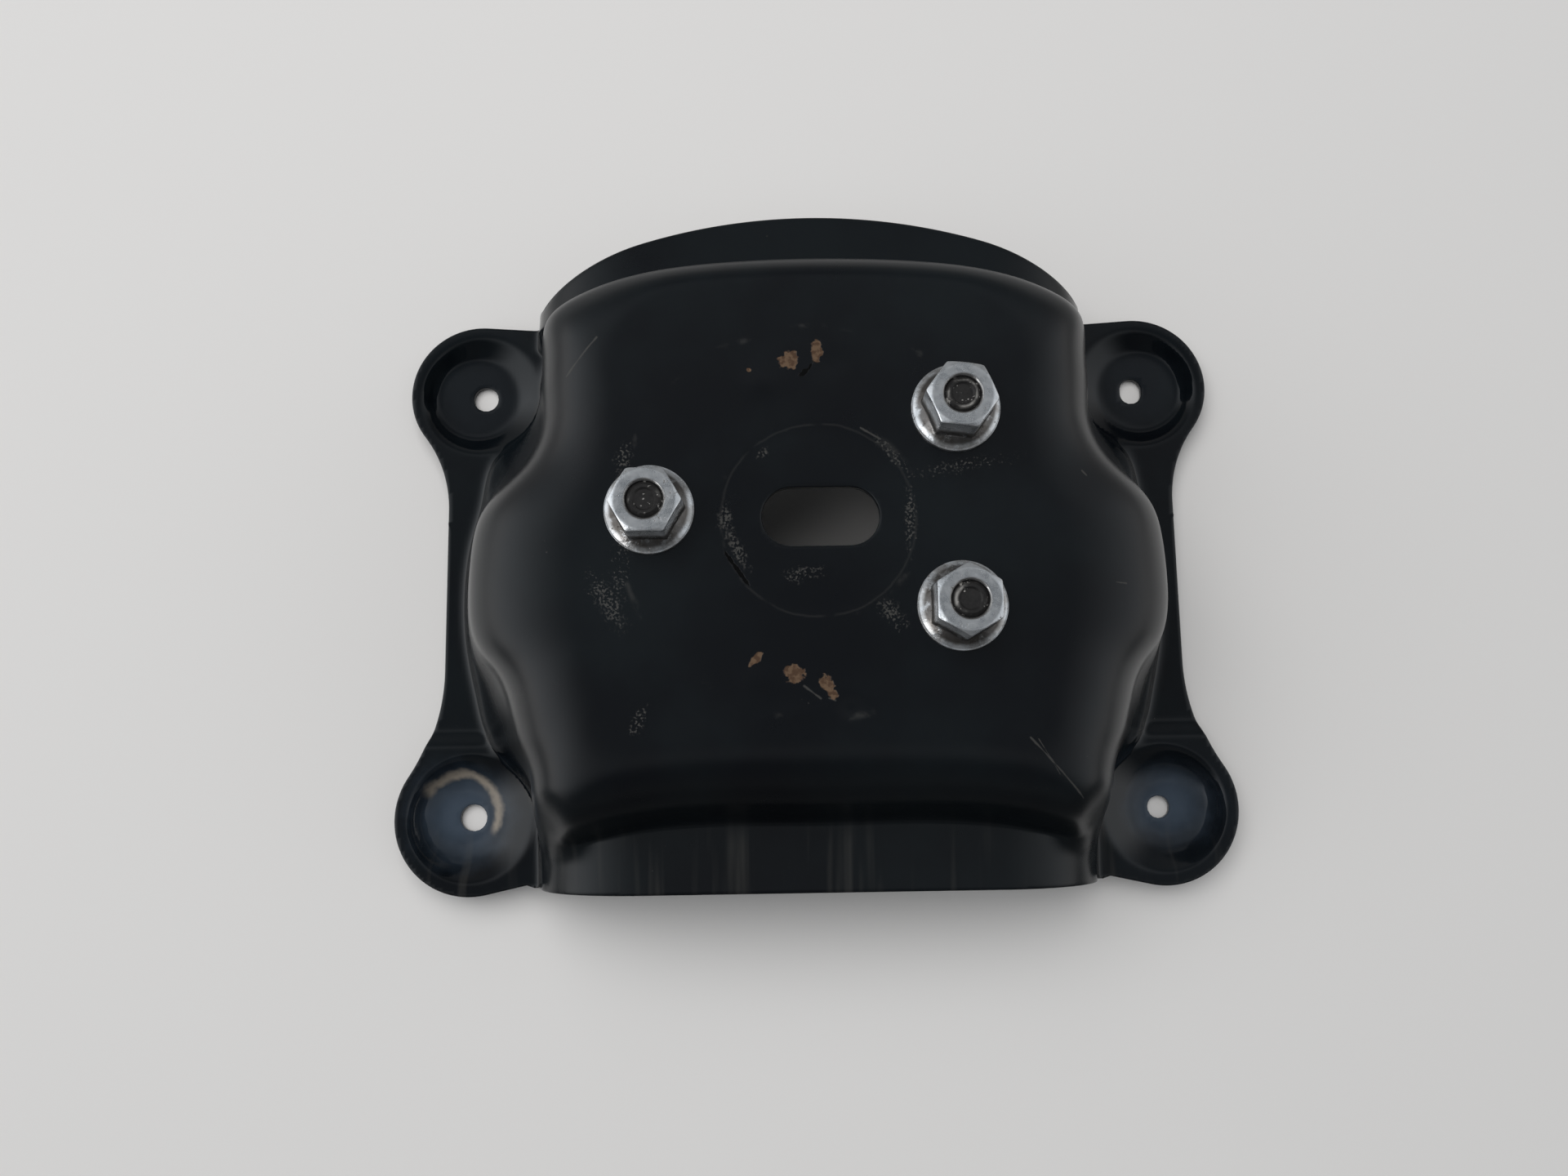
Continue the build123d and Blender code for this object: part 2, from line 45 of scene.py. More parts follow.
# ------------------------------------------------------------------ sizes of the pressing
SHEET = 3.0
TOP_Z = 90.0
FLANGE_Z, REAR_FLANGE_Z = 9.0, 13.0
FLANGE_STEP = (-71.2, -63.2)
FRONT_FEET = ((-133.0, 71.3), (133.0, 71.3))
REAR_FEET = ((-133.0, -97.7), (133.0, -97.7))
FRONT_FOOT_R, REAR_FOOT_R = 28.4, 29.3
CUP_RIM_R = 24.2
# a cup's circles from its floor up: (how far out from the foot's centre, radius, height)
FRONT_CUP = ((3.0, 16.6, 3.0), (0.0, CUP_RIM_R, FLANGE_Z))
REAR_CUP = ((4.5, 10.0, 3.0), (4.5, 16.2, 5.3), (0.0, CUP_RIM_R, REAR_FLANGE_Z))
CUP_SIDE_STEEPNESS = 8.0
WALL_LEAN = np.radians(8.0)
SHOULDER_DROP = 28.0
WALL_FOOT_Z = 12.0
FOOT_FILLET_R = 4.0
BEND_R = 1.3
REAR_BEND_EXTRA = 1.6
CORNER_X, CORNER_Y, CORNER_RUN = 80, -84.0, 30.0
EDGE_BREAK = 0.35

# the arched collar: its creases with the dome, level half width, height at the crease, fall
# outwards, the run of its shoulders, their drop, the round at its foot, and how far inside a
# crease it keeps its fall before it tapers
FRONT_CREASE_Y, REAR_CREASE_Y = 101.7, -95.6
COLLAR_HALF_W, COLLAR_Z = 64.0, 54.0
COLLAR_FALL, REAR_COLLAR_FALL = 4.5 / 25.3, 4.5 / 28.3
COLLAR_RUN, REAR_COLLAR_RUN, COLLAR_DROP = 43.5, 41.0, 32.0
COLLAR_FOOT_R = 3.0
COLLAR_INSIDE, COLLAR_TAPER = 12, 0.9

# the cut outline: curved +Y rim, waists and straight -Y rim, whose ends are cut back by 1 mm
RIM_Y, RIM_HALF_W, RIM_RISE = 127.0, 104.2, 29.2
REAR_RIM_Y, REAR_RIM_HALF_W, REAR_NOTCH, REAR_NOTCH_W = -123.9, 111.0, 1.0, 2.0
WAIST_HALF_W, WAIST_R, REAR_WAIST_R = 145.4, 50.0, 75.0

# holes: the studs' circle, the feet's holes and the hand slot
STUD_CIRCLE_R, STUD_CIRCLE_Y, STUD_TURNS = 57.15, 5.6, (180.0, 36.0, -36.0)
STUD_HOLE_R = 6.55
HOLE_X, REAR_HOLE_X = 132.7, 134.3
SLOT_Y, SLOT_L, SLOT_W, FOOT_SLOT_L, FOOT_SLOT_W = 2.9, 39.5, 20.0, 10.4, 8.8
FRONT_HOLE_R, REAR_LEFT_HOLE_R, REAR_RIGHT_HOLE_R = 5.0, 5.2, 4.4

# right halves of the dome's level curves, from +Y to -Y: the flat crown's edge, the
# shoulder's foot and the wall's foot
CROWN_HALF = np.array([
    (0, 86.2), (36.5, 84.7), (58.5, 79.2), (67.5, 69.2), (70.3, 59.7), (70.3, 52.7),
    (69.5, 44.7), (69.5, 34.3), (72, 19.3), (77.3, 8.3), (80.7, 1.3), (82, -6.7),
    (82.3, -14.7), (81.9, -23.7), (81.1, -31.7), (79.3, -39.2), (77.7, -48.2),
    (75.5, -59.2), (74.5, -66.9), (71.7, -70.2), (67, -71.6), (58.5, -71.4),
    (43.5, -70.5), (0, -69.6),
])
DOME_HALF = np.array([
    (0, 101.7), (38, 100.2), (66, 96.5), (86, 90.2), (97.4, 81.2), (98.7, 68),
    (98.9, 54), (98.9, 41.3), (104.6, 28.3), (112.8, 19.8), (120.1, 9.8), (122.8, -1.7),
    (123.6, -14.7), (123.1, -27.2), (119.5, -38.2), (113.3, -46.2), (109.3, -55.2),
    (106.3, -66.7), (101.8, -78.7), (99.3, -90.5), (95, -101.2), (84, -101.6),
    (64, -97.6), (0, -95.6),
])


def beside_cup(foot, angle):
    """A point 1.4 mm outside a cup's rim, at an angle in degrees about the foot's middle."""
    reach, turn = CUP_RIM_R + 1.4, np.radians(angle)
    return foot[0] + reach * np.cos(turn), foot[1] + reach * np.sin(turn)


END_OUT = (TOP_Z - SHOULDER_DROP - WALL_FOOT_Z) * np.tan(WALL_LEAN)
WALL_HALF = np.array([
    (0, 101.7), (40, 100.2), (68, 96.2), (89.5, 89.5), (105, 79.7),
    beside_cup(FRONT_FEET[1], 188), beside_cup(FRONT_FEET[1], 212),
    beside_cup(FRONT_FEET[1], 236),
    (126, 42.8), (130.5, 25.3), (134, 11.3), (136.1, -2.7), (136.5, -15.7),
    (135.7, -27.7), (133.5, -40.7), (130.7, -52.7), (127.2, -64.7),
    beside_cup(REAR_FEET[1], 124), beside_cup(REAR_FEET[1], 150),
    (105.2, -97.5), (100, -101.5), (86, -101.6), (65, -97.6), (0, -95.6),
])
WALL_HALF[:5, 1] += END_OUT
WALL_HALF[-4:, 1] -= END_OUT


# ------------------------------------------------------------------ plan curves and heights
def mirrored(half):
    """A right-half outline made into a closed ring by repeating it on the left."""
    left = half[1:-1][::-1] * (-1, 1)
    return np.concatenate([half, left])


def pushed_out(half, out):
    """Each point of a half outline moved by out along its plan normal.

    The normal is the chord between its two neighbours turned a quarter turn outwards."""
    before = np.concatenate([half[1:2] * (-1, 1), half[:-1]])
    after = np.concatenate([half[1:], half[-2:-1] * (-1, 1)])
    chord = after - before
    normal = np.stack([-chord[:, 1], chord[:, 0]], 1) / np.linalg.norm(chord, axis=1)[:, None]
    return half + out * normal


def closed_spline(ring, count):
    """Closed cubic spline through a ring of points, parameter = chord length.

    The second derivatives M at the points solve the cyclic system
    h0 M0 + 2 (h0 + h1) M1 + h1 M2 = 6 (slope1 - slope0), and the curve between two points is
    the cubic that those second derivatives give."""
    step = np.linalg.norm(np.roll(ring, -1, 0) - ring, axis=1)
    slope = (np.roll(ring, -1, 0) - ring) / step[:, None]
    n = len(ring)
    rows = np.arange(n)
    system = np.zeros((n, n))
    last = np.roll(step, 1)
    system[rows, rows - 1] = last
    system[rows, rows] = 2 * (last + step)
    system[rows, (rows + 1) % n] = step
    bend = np.linalg.solve(system, 6 * (slope - np.roll(slope, 1, 0)))
    knots = np.concatenate([[0], np.cumsum(step)])
    t = np.linspace(0, knots[-1], count, endpoint=False)
    span = np.clip(np.searchsorted(knots, t, side="right") - 1, 0, n - 1)
    u, h = (t - knots[span])[:, None], step[span][:, None]
    p0, p1 = ring[span], ring[(span + 1) % n]
    m0, m1 = bend[span], bend[(span + 1) % n]
    v = h - u
    return (
        (m0 * v**3 + m1 * u**3) / (6 * h)
        + (p0 / h - m0 * h / 6) * v
        + (p1 / h - m1 * h / 6) * u
    )


TURN_STEPS = 2880


def polar_radius(half):
    """Radius of a closed ring about the Z axis, at TURN_STEPS even angles."""
    curve = closed_spline(mirrored(half), 4000)
    angle = np.arctan2(curve[:, 1], curve[:, 0]) % (2 * np.pi)
    order = np.argsort(angle)
    even = np.arange(TURN_STEPS) * 2 * np.pi / TURN_STEPS
    return np.interp(
        even, angle[order], np.hypot(curve[order, 0], curve[order, 1]), period=2 * np.pi
    )


def dome_rings():
    """Heights of the dome's level rings, and each ring's radius at every angle.

    Shoulder: share out = sin(tilt) / sin(82), share down = (1 - cos(tilt)) / (1 - cos(82)).
    Wall: straight from the shoulder's foot to the wall's foot.  Foot: a quarter round that
    ends level with the flange."""
    end = np.pi / 2 - WALL_LEAN
    heights, radii = [], []
    for tilt in np.linspace(0, end, 56):
        out = np.sin(tilt) / np.sin(end)
        down = (1 - np.cos(tilt)) / (1 - np.cos(end))
        heights.append(TOP_Z - SHOULDER_DROP * down)
        radii.append(polar_radius(CROWN_HALF + (DOME_HALF - CROWN_HALF) * out))
    for share in (0.25, 0.5, 0.75):
        heights.append(TOP_Z - SHOULDER_DROP + (WALL_FOOT_Z - TOP_Z + SHOULDER_DROP) * share)
        radii.append(polar_radius(DOME_HALF + (WALL_HALF - DOME_HALF) * share))
    reach = FOOT_FILLET_R * np.tan(end / 2)
    corner = (WALL_FOOT_Z - FLANGE_Z) * np.tan(WALL_LEAN)
    for tilt in np.linspace(end, 0, 12):
        out = corner + reach - FOOT_FILLET_R * np.sin(tilt)
        heights.append(FLANGE_Z + FOOT_FILLET_R * (1 - np.cos(tilt)))
        radii.append(polar_radius(pushed_out(WALL_HALF, out)))
    radii = np.array(radii)
    return np.array(heights), np.maximum.accumulate(radii, axis=0)


RING_Z, RING_R = dome_rings()


def flange_height(y):
    """Level of the flanges: 9 mm, rising to 13 mm at the -Y feet by 3 s^2 - 2 s^3."""
    s = np.clip((FLANGE_STEP[1] - y) / (FLANGE_STEP[1] - FLANGE_STEP[0]), 0, 1)
    return FLANGE_Z + (REAR_FLANGE_Z - FLANGE_Z) * s * s * (3 - 2 * s)


def dome_height(x, y):
    """Height of the dome's face: the level of the ring whose radius is the point's own."""
    radius = np.hypot(x, y)
    turn = (np.arctan2(y, x) % (2 * np.pi)) * TURN_STEPS / (2 * np.pi)
    low = turn.astype(int) % TURN_STEPS
    share = turn - np.floor(turn)
    rings = RING_R[:, low] * (1 - share) + RING_R[:, (low + 1) % TURN_STEPS] * share
    inside = (rings < radius).sum(axis=0)
    lower = np.clip(inside - 1, 0, len(RING_Z) - 2)
    points = np.arange(radius.size)
    r0, r1 = rings[lower, points], rings[lower + 1, points]
    mix = np.clip((radius - r0) / np.maximum(r1 - r0, 1e-9), 0, 1)
    level = RING_Z[lower] + (RING_Z[lower + 1] - RING_Z[lower]) * mix
    level = np.where(inside == 0, TOP_Z, level)
    floor = flange_height(y)
    return floor + (level - FLANGE_Z) * (TOP_Z - floor) / (TOP_Z - FLANGE_Z)


def collar_height(x, y):
    """Height of the arched collar.

    Level to COLLAR_HALF_W, then a shoulder that is part of an ellipse and drops by COLLAR_DROP,
    then a wall that leans in by WALL_LEAN, with a round at its foot."""
    end = np.pi / 2 - WALL_LEAN
    front = y > 0
    crease = np.where(front, FRONT_CREASE_Y, REAR_CREASE_Y)
    fall = np.where(front, COLLAR_FALL, REAR_COLLAR_FALL)
    outward = np.where(front, y - crease, crease - y)
    top = COLLAR_Z - fall * np.maximum(outward, -COLLAR_INSIDE)
    shoulder = np.where(front, COLLAR_RUN, REAR_COLLAR_RUN)
    side = np.abs(x) + COLLAR_TAPER * np.maximum(-COLLAR_INSIDE - outward, 0)
    radius_x, radius_z = shoulder / np.sin(end), COLLAR_DROP / (1 - np.cos(end))
    arch = np.clip((side - COLLAR_HALF_W) / radius_x, 0, np.sin(end))
    floor = flange_height(y)
    wall = side - COLLAR_HALF_W - shoulder
    level = top - radius_z + radius_z * np.sqrt(1 - arch**2)
    level = np.where(wall > 0, top - COLLAR_DROP - wall / np.tan(WALL_LEAN), level)
    foot = (top - COLLAR_DROP - floor) * np.tan(WALL_LEAN)
    centre = foot + COLLAR_FOOT_R * np.tan(end / 2)
    inward = np.clip(centre - wall, 0, COLLAR_FOOT_R * np.sin(end))
    rounded = floor + COLLAR_FOOT_R - np.sqrt(COLLAR_FOOT_R**2 - inward**2)
    return np.where(wall > centre - COLLAR_FOOT_R * np.sin(end), rounded, level)


def cup_height(x, y, foot, circles):
    """Height of a cup's face: straight sides between level circles whose middles shift.

    Between two circles, with share t up, the middle is c + e t and the radius r + g t; a point
    d from the lower middle solves (e^2 - g^2) t^2 - 2 (e dx + r g) t + d^2 - r^2 = 0.  Past
    the rim a steep side cuts whatever stands there."""
    side = np.sign(foot[0])
    level = np.full(x.shape, circles[0][2])
    for (shift0, r0, z0), (shift1, r1, z1) in zip(circles, circles[1:]):
        dx, dy = x - foot[0] - side * shift0, y - foot[1]
        e, g = side * (shift1 - shift0), r1 - r0
        b = e * dx + r0 * g
        root = np.sqrt(b * b + (g * g - e * e) * (dx * dx + dy * dy - r0 * r0))
        level += (z1 - z0) * np.clip((root - b) / (g * g - e * e), 0, 1)
    reach = np.hypot(x - foot[0], y - foot[1]) - circles[-1][1] - 0.4
    return level + np.maximum(reach, 0) * CUP_SIDE_STEEPNESS


def smooth_step(value):
    """0 below 0, 1 above 1 and 3 v^2 - 2 v^3 between."""
    v = np.clip(value, 0, 1)
    return v * v * (3 - 2 * v)


def sharp_height(x, y):
    """The whole face before its bends are rounded: the higher of dome and collar, cut by the
    four cups.  Beside the -Y crease's ends the dome's side runs on over CORNER_RUN into the
    collar's, so that the crease fades out there.  That fades in over 16 mm of width and 12 mm
    of height."""
    collar = collar_height(x, y)
    level = np.maximum(dome_height(x, y), collar)
    near = (np.abs(x) > CORNER_X) & (y < CORNER_Y)
    low = collar[near]
    running_on = dome_height(x[near], np.full(low.shape, CORNER_Y))
    share = smooth_step((CORNER_Y - y[near]) / CORNER_RUN)
    flow = np.maximum(running_on + (low - running_on) * share, low)
    corner = smooth_step((np.abs(x[near]) - CORNER_X) / 16)
    corner *= np.clip((np.minimum(running_on, low) - 14) / 12, 0, 1)
    level[near] += (flow - level[near]) * corner
    for feet, circles in ((FRONT_FEET, FRONT_CUP), (REAR_FEET, REAR_CUP)):
        for foot in feet:
            level = np.minimum(level, cup_height(x, y, foot, circles))
    return level


def face_height(x, y):
    """The face with rounded bends: the mean of the sharp face at the point and at two rings
    of places about it, which leaves slopes alone and rounds every crease by BEND_R.  The -Y
    crease is rounded more, fading as exp(-(distance / 7)^2)."""
    rear_crease = np.exp(-(((y + 98.0) / 7.0) ** 2)) * (np.abs(x) < 92)
    bend = BEND_R * (1 + REAR_BEND_EXTRA * rear_crease)
    total = sharp_height(x, y) * 2.0
    weight = 2.0
    for ring, count in ((0.55, 6), (1.0, 10)):
        for turn in np.arange(count) * 2 * np.pi / count + ring:
            total += sharp_height(x + bend * ring * np.cos(turn), y + bend * ring * np.sin(turn))
            weight += 1.0
    return total / weight


def arc(centre, radius, start, stop, steps):
    """Points on a circle from one angle to another, in degrees."""
    turn = np.radians(np.linspace(start, stop, steps))
    return np.stack([centre[0] + radius * np.cos(turn), centre[1] + radius * np.sin(turn)], 1)


def touch_turn(corner, centre, radius, side):
    """Angle, about a circle's middle, of the place where a straight line from a corner
    touches the circle on its +Y (1) or -Y (-1) side."""
    dx, dy = centre[0] - corner[0], centre[1] - corner[1]
    turn = np.arctan2(dy, dx) + side * np.arcsin(radius / np.hypot(dx, dy))
    return np.degrees(turn) + 90 * side


def trimmed_outline():
    """Closed outline of the pressing: curved rim, round feet, waists filleted into them and
    the straight rear rim, as arcs and straight runs."""
    front, rear = FRONT_FEET[1], REAR_FEET[1]
    rim_r = (RIM_HALF_W**2 + RIM_RISE**2) / (2 * RIM_RISE)
    rim_turn = np.degrees(np.arcsin(RIM_HALF_W / rim_r))
    front_x, rear_x = WAIST_HALF_W + WAIST_R, WAIST_HALF_W + REAR_WAIST_R
    front_dy = np.sqrt((FRONT_FOOT_R + WAIST_R) ** 2 - (front_x - front[0]) ** 2)
    rear_dy = np.sqrt((REAR_FOOT_R + REAR_WAIST_R) ** 2 - (rear_x - rear[0]) ** 2)
    front_turn = np.degrees(np.arctan2(front_dy, front_x - front[0]))
    rear_turn = np.degrees(np.arctan2(rear_dy, rear_x - rear[0]))
    rear_end = (REAR_RIM_HALF_W, REAR_RIM_Y + REAR_NOTCH)
    front_touch = touch_turn((RIM_HALF_W, RIM_Y - RIM_RISE), front, FRONT_FOOT_R, 1)
    rear_touch = touch_turn(rear_end, rear, REAR_FOOT_R, -1)
    half = np.concatenate([
        arc((0, RIM_Y - rim_r), rim_r, 90, 90 - rim_turn, 70),
        arc(front, FRONT_FOOT_R, front_touch, -front_turn, 70),
        arc((front_x, front[1] - front_dy), WAIST_R, 180 - front_turn, 180, 24),
        arc((rear_x, rear[1] + rear_dy), REAR_WAIST_R, 180, 180 + rear_turn, 30),
        arc(rear, REAR_FOOT_R, rear_turn, rear_touch, 70),
        [rear_end, (REAR_RIM_HALF_W - REAR_NOTCH_W, REAR_RIM_Y), (0.0, REAR_RIM_Y)],
    ])
    return mirrored(half)


def slot_outline(centre, length, width, along_y=False):
    """Closed outline of an oblong hole: two half circles joined by straight runs."""
    r, reach = width / 2, (length - width) / 2
    ends = np.concatenate([arc((reach, 0), r, -90, 90, 24), arc((-reach, 0), r, 90, 270, 24)])
    if along_y:
        ends = ends[:, ::-1] * (1, -1)
    return ends + centre


def hole_outline(place, radius):
    """Closed outline of a round hole."""
    return arc(place, radius, 0, 360, 49)[:-1]


STUD_PLACES = [
    (STUD_CIRCLE_R * np.cos(turn), STUD_CIRCLE_Y + STUD_CIRCLE_R * np.sin(turn))
    for turn in np.radians(STUD_TURNS)
]
OUTLINE = trimmed_outline()
HOLES = [
    slot_outline((0, SLOT_Y), SLOT_L, SLOT_W),
    slot_outline((HOLE_X, FRONT_FEET[1][1]), FOOT_SLOT_L, FOOT_SLOT_W, along_y=True),
    hole_outline((-HOLE_X, FRONT_FEET[0][1]), FRONT_HOLE_R),
    hole_outline((-REAR_HOLE_X, REAR_FEET[0][1]), REAR_LEFT_HOLE_R),
    hole_outline((REAR_HOLE_X, REAR_FEET[1][1]), REAR_RIGHT_HOLE_R),
] + [hole_outline(place, STUD_HOLE_R) for place in STUD_PLACES]


def inside_outline(points, ring):
    """True for each point inside a closed ring, by counting the sides that it is left of."""
    x, y = points[:, 0][:, None], points[:, 1][:, None]
    x0, y0 = ring.T
    x1, y1 = np.roll(ring, -1, 0).T
    crosses = (y0 > y) != (y1 > y)
    rise = np.where(y1 == y0, 1e-12, y1 - y0)
    left_of = x < (x1 - x0) * (y - y0) / rise + x0
    return (crosses & left_of).sum(axis=1) % 2 == 1


def nearest_on(points, rings):
    """Nearest place to each point on any of the rings' sides."""
    start = np.concatenate(rings)
    along = np.concatenate([np.roll(ring, -1, 0) for ring in rings]) - start
    place = points.copy()
    for lot in np.array_split(np.arange(len(points)), max(1, len(points) // 2000)):
        offset = points[lot][:, None, :] - start[None]
        share = np.clip((offset * along).sum(2) / np.maximum((along**2).sum(1), 1e-12), 0, 1)
        spot = start + share[..., None] * along
        pick = np.linalg.norm(points[lot][:, None, :] - spot, axis=2).argmin(axis=1)
        place[lot] = spot[np.arange(len(lot)), pick]
    return place


def grid_normals(p):
    """Unit normals of a grid of points, from the central differences along its two ways."""
    across, along = np.gradient(p, axis=1), np.gradient(p, axis=0)
    n = np.cross(across, along)
    return n / np.linalg.norm(n, axis=2, keepdims=True)


LOOK_STEP = 0.5
LOOK_X = np.arange(-168, 168.01, LOOK_STEP)
LOOK_Y = np.arange(-134, 134.01, LOOK_STEP)


def look_up(chart, x, y):
    """A chart of heights read between its four nearest entries."""
    u = np.clip((x - LOOK_X[0]) / LOOK_STEP, 0, len(LOOK_X) - 1.001)
    v = np.clip((y - LOOK_Y[0]) / LOOK_STEP, 0, len(LOOK_Y) - 1.001)
    i, j = u.astype(int), v.astype(int)
    u, v = u - i, v - j
    return (
        chart[j, i] * (1 - u) * (1 - v) + chart[j, i + 1] * u * (1 - v)
        + chart[j + 1, i] * (1 - u) * v + chart[j + 1, i + 1] * u * v
    )


def settle(x, y, chart, rounds, bend_pull):
    """Slides the grid's points over the face until their spacing is even in space.

    Each point moves towards the mean of its four neighbours, less the part of that move along
    the normal.  Neighbours across a bend pull harder, so bends get closer lines."""
    for _ in range(rounds):
        p = np.stack([x, y, look_up(chart, x, y)], 2)
        n = grid_normals(p)
        pull = np.zeros_like(p)
        weight = np.zeros(x.shape)
        for axis in (0, 1):
            turn = np.linalg.norm(np.diff(n, axis=axis), axis=2)
            stiff = 1 + bend_pull * turn
            force = (np.diff(p, axis=axis) * stiff[..., None]).swapaxes(0, axis)
            stiff = stiff.swapaxes(0, axis)
            pulled, weighed = pull.swapaxes(0, axis), weight.swapaxes(0, axis)
            pulled[:-1] += force
            pulled[1:] -= force
            weighed[:-1] += stiff
            weighed[1:] += stiff
        pull /= weight[..., None]
        pull -= (pull * n).sum(2, keepdims=True) * n
        pull[:, (0, -1), 0] = 0
        pull[(0, -1), :, 1] = 0
        x = x + 0.9 * pull[..., 0]
        y = y + 0.9 * pull[..., 1]
    return x, y


def doubled(grid):
    """A grid with a new line half way between every two of its lines, both ways."""
    for _ in range(2):
        wide = np.repeat(grid, 2, axis=0)[:-1]
        wide[1::2] = (grid[:-1] + grid[1:]) / 2
        grid = np.ascontiguousarray(wide.T)
    return grid


def shell_grid():
    """Plan places of the shell's points: an even grid over the CAD's box, settled while it is
    coarse and again after each doubling of its lines."""
    gx, gy = np.meshgrid(LOOK_X, LOOK_Y)
    chart = face_height(gx.ravel(), gy.ravel()).reshape(gx.shape)
    half_w, half_l = 162.3, RIM_Y
    x, y = np.meshgrid(np.linspace(-half_w, half_w, 66), np.linspace(-half_l, half_l, 53))
    x, y = settle(x, y, chart, 300, 0.6)
    x, y = settle(doubled(x), doubled(y), chart, 120, 1.5)
    x, y = settle(doubled(x), doubled(y), chart, 60, 2.5)
    return x, y


# dents and bumps in the crown: middle x, y, half width, half length, rise
CROWN_MARKS = (
    (-19.8, 49.3, 5.5, 4.6, 0.5), (5.2, 55.6, 5.5, 4.2, -0.3), (-22.5, -52.1, 5.6, 5.0, 0.5),
    (8.9, -61.0, 4.6, 3.6, -1.3), (8.9, -61.0, 7.6, 6.2, 0.7), (-8.0, -62.5, 8.5, 2.6, 0.3),
)


def crown_marks(x, y):
    """Small dents and bumps in the crown, added to its height.

    Each is a Gaussian hill or hollow.  The hub's seat is a round step 0.12 mm deep, whose edge
    is 1 / (1 + exp(distance / 0.35)) at 32.3 mm from its middle."""
    level = np.zeros_like(x)
    for cx, cy, wide, tall, rise in CROWN_MARKS:
        level += rise * np.exp(-(((x - cx) / wide) ** 2 + ((y - cy) / tall) ** 2))
    hub = np.hypot(x + 1.4, y - 2.0)
    return level - 0.12 / (1 + np.exp((hub - 32.3) / 0.35))


def trimmed_grid(x, y):
    """The part of a grid that lies on the sheet.

    Gives the plan points, each kept quad's four corners, the quads' sides, the sides on the cut
    edges and the points on those, which are moved onto the outline and the holes."""
    centre = [(g[1:, 1:] + g[:-1, 1:] + g[1:, :-1] + g[:-1, :-1]).ravel() / 4 for g in (x, y)]
    centre = np.stack(centre, 1)
    keep = np.zeros(len(centre), bool)
    for lot in np.array_split(np.arange(len(centre)), 12):
        keep[lot] = inside_outline(centre[lot], OUTLINE)
        for hole in HOLES:
            keep[lot] &= ~inside_outline(centre[lot], hole)
    number = np.arange(x.size).reshape(x.shape)
    quads = np.stack(
        [number[:-1, :-1], number[:-1, 1:], number[1:, 1:], number[1:, :-1]], 2
    ).reshape(-1, 4)[keep]
    kept, quads = np.unique(quads, return_inverse=True)
    quads = quads.reshape(-1, 4)
    plan = np.stack([x.ravel()[kept], y.ravel()[kept]], 1)
    sides = np.concatenate([quads[:, [k, (k + 1) % 4]] for k in range(4)])
    _, first, seen = np.unique(
        np.sort(sides, axis=1), axis=0, return_index=True, return_counts=True
    )
    rim = sides[first[seen == 1]]
    edge = np.unique(rim)
    plan[edge] = nearest_on(plan[edge], [OUTLINE] + HOLES)
    return plan, quads, sides, rim, edge


def evened(plan, quads, sides, edge):
    """Evens out what the trim disturbed: the inner points of the three rows of quads beside
    the cut edges move towards the mean of their neighbours, twelve times."""
    near = np.zeros(len(plan), bool)
    near[edge] = True
    for _ in range(3):
        near[quads[near[quads].any(axis=1)].ravel()] = True
    near[edge] = False
    links = np.concatenate([sides, sides[:, ::-1]])
    for _ in range(12):
        total = np.zeros_like(plan)
        count = np.zeros(len(plan))
        np.add.at(total, links[:, 0], plan[links[:, 1]])
        np.add.at(count, links[:, 0], 1)
        mean = total / count[:, None]
        plan[near] += 0.6 * (mean[near] - plan[near])
    return plan


def face_normals(x, y, nudge=0.35):
    """Unit normals of the face, from its heights a nudge to either side of each place."""
    slopes = [
        (face_height(x + dx, y + dy) - face_height(x - dx, y - dy)) / (2 * nudge)
        for dx, dy in ((nudge, 0), (0, nudge))
    ]
    normal = np.column_stack([-slopes[0], -slopes[1], np.ones(len(x))])
    return normal / np.linalg.norm(normal, axis=1, keepdims=True)


def edge_outward(plan, rim, edge):
    """Unit plan direction out of the sheet at each point of its cut edges."""
    along = plan[rim[:, 1]] - plan[rim[:, 0]]
    away = np.stack([along[:, 1], -along[:, 0]], 1)
    away /= np.maximum(np.linalg.norm(away, axis=1, keepdims=True), 1e-9)
    out = np.zeros_like(plan)
    np.add.at(out, rim[:, 0], away)
    np.add.at(out, rim[:, 1], away)
    return out[edge] / np.maximum(np.linalg.norm(out[edge], axis=1, keepdims=True), 1e-9)


def sheet_mesh(name):
    """The pressing as a closed sheet: its outer face, the same face SHEET inside it, and the
    cut edges, which stand upright and have their corners broken by EDGE_BREAK."""
    plan, quads, sides, rim, edge = trimmed_grid(*shell_grid())
    x, y = evened(plan, quads, sides, edge).T
    outer = np.column_stack([plan, face_height(x, y) + crown_marks(x, y)])
    inner = outer - SHEET * face_normals(x, y)
    inner[edge, :2] = outer[edge, :2]
    out = edge_outward(plan, rim, edge)
    thick = outer[edge, 2] - inner[edge, 2]
    drop = np.column_stack([np.zeros_like(out), EDGE_BREAK * thick / SHEET])
    upper = outer[edge] - drop
    lower = inner[edge] + drop
    outer[edge, :2] -= EDGE_BREAK * out
    inner[edge, :2] -= EDGE_BREAK * out
    n = len(outer)
    where = np.full(n, -1)
    where[edge] = np.arange(len(edge))
    up, low = where[rim] + 2 * n, where[rim] + 2 * n + len(edge)
    bands = [
        np.column_stack([above[:, 1], above[:, 0], below[:, 0], below[:, 1]])
        for above, below in ((rim, up), (up, low), (low, rim + n))
    ]
    points = np.concatenate([outer, inner, upper, lower])
    faces = np.concatenate([quads, quads[:, ::-1] + n] + bands)
    piece = mesh_object(name, points, faces)
    side = np.repeat((1.0, 0.0, 1.0, 0.0), (n, n, len(edge), len(edge)))
    mark = piece.data.attributes.new("outer_face", "FLOAT", "POINT")
    mark.data.foreach_set("value", side.astype(np.float32))
    return piece


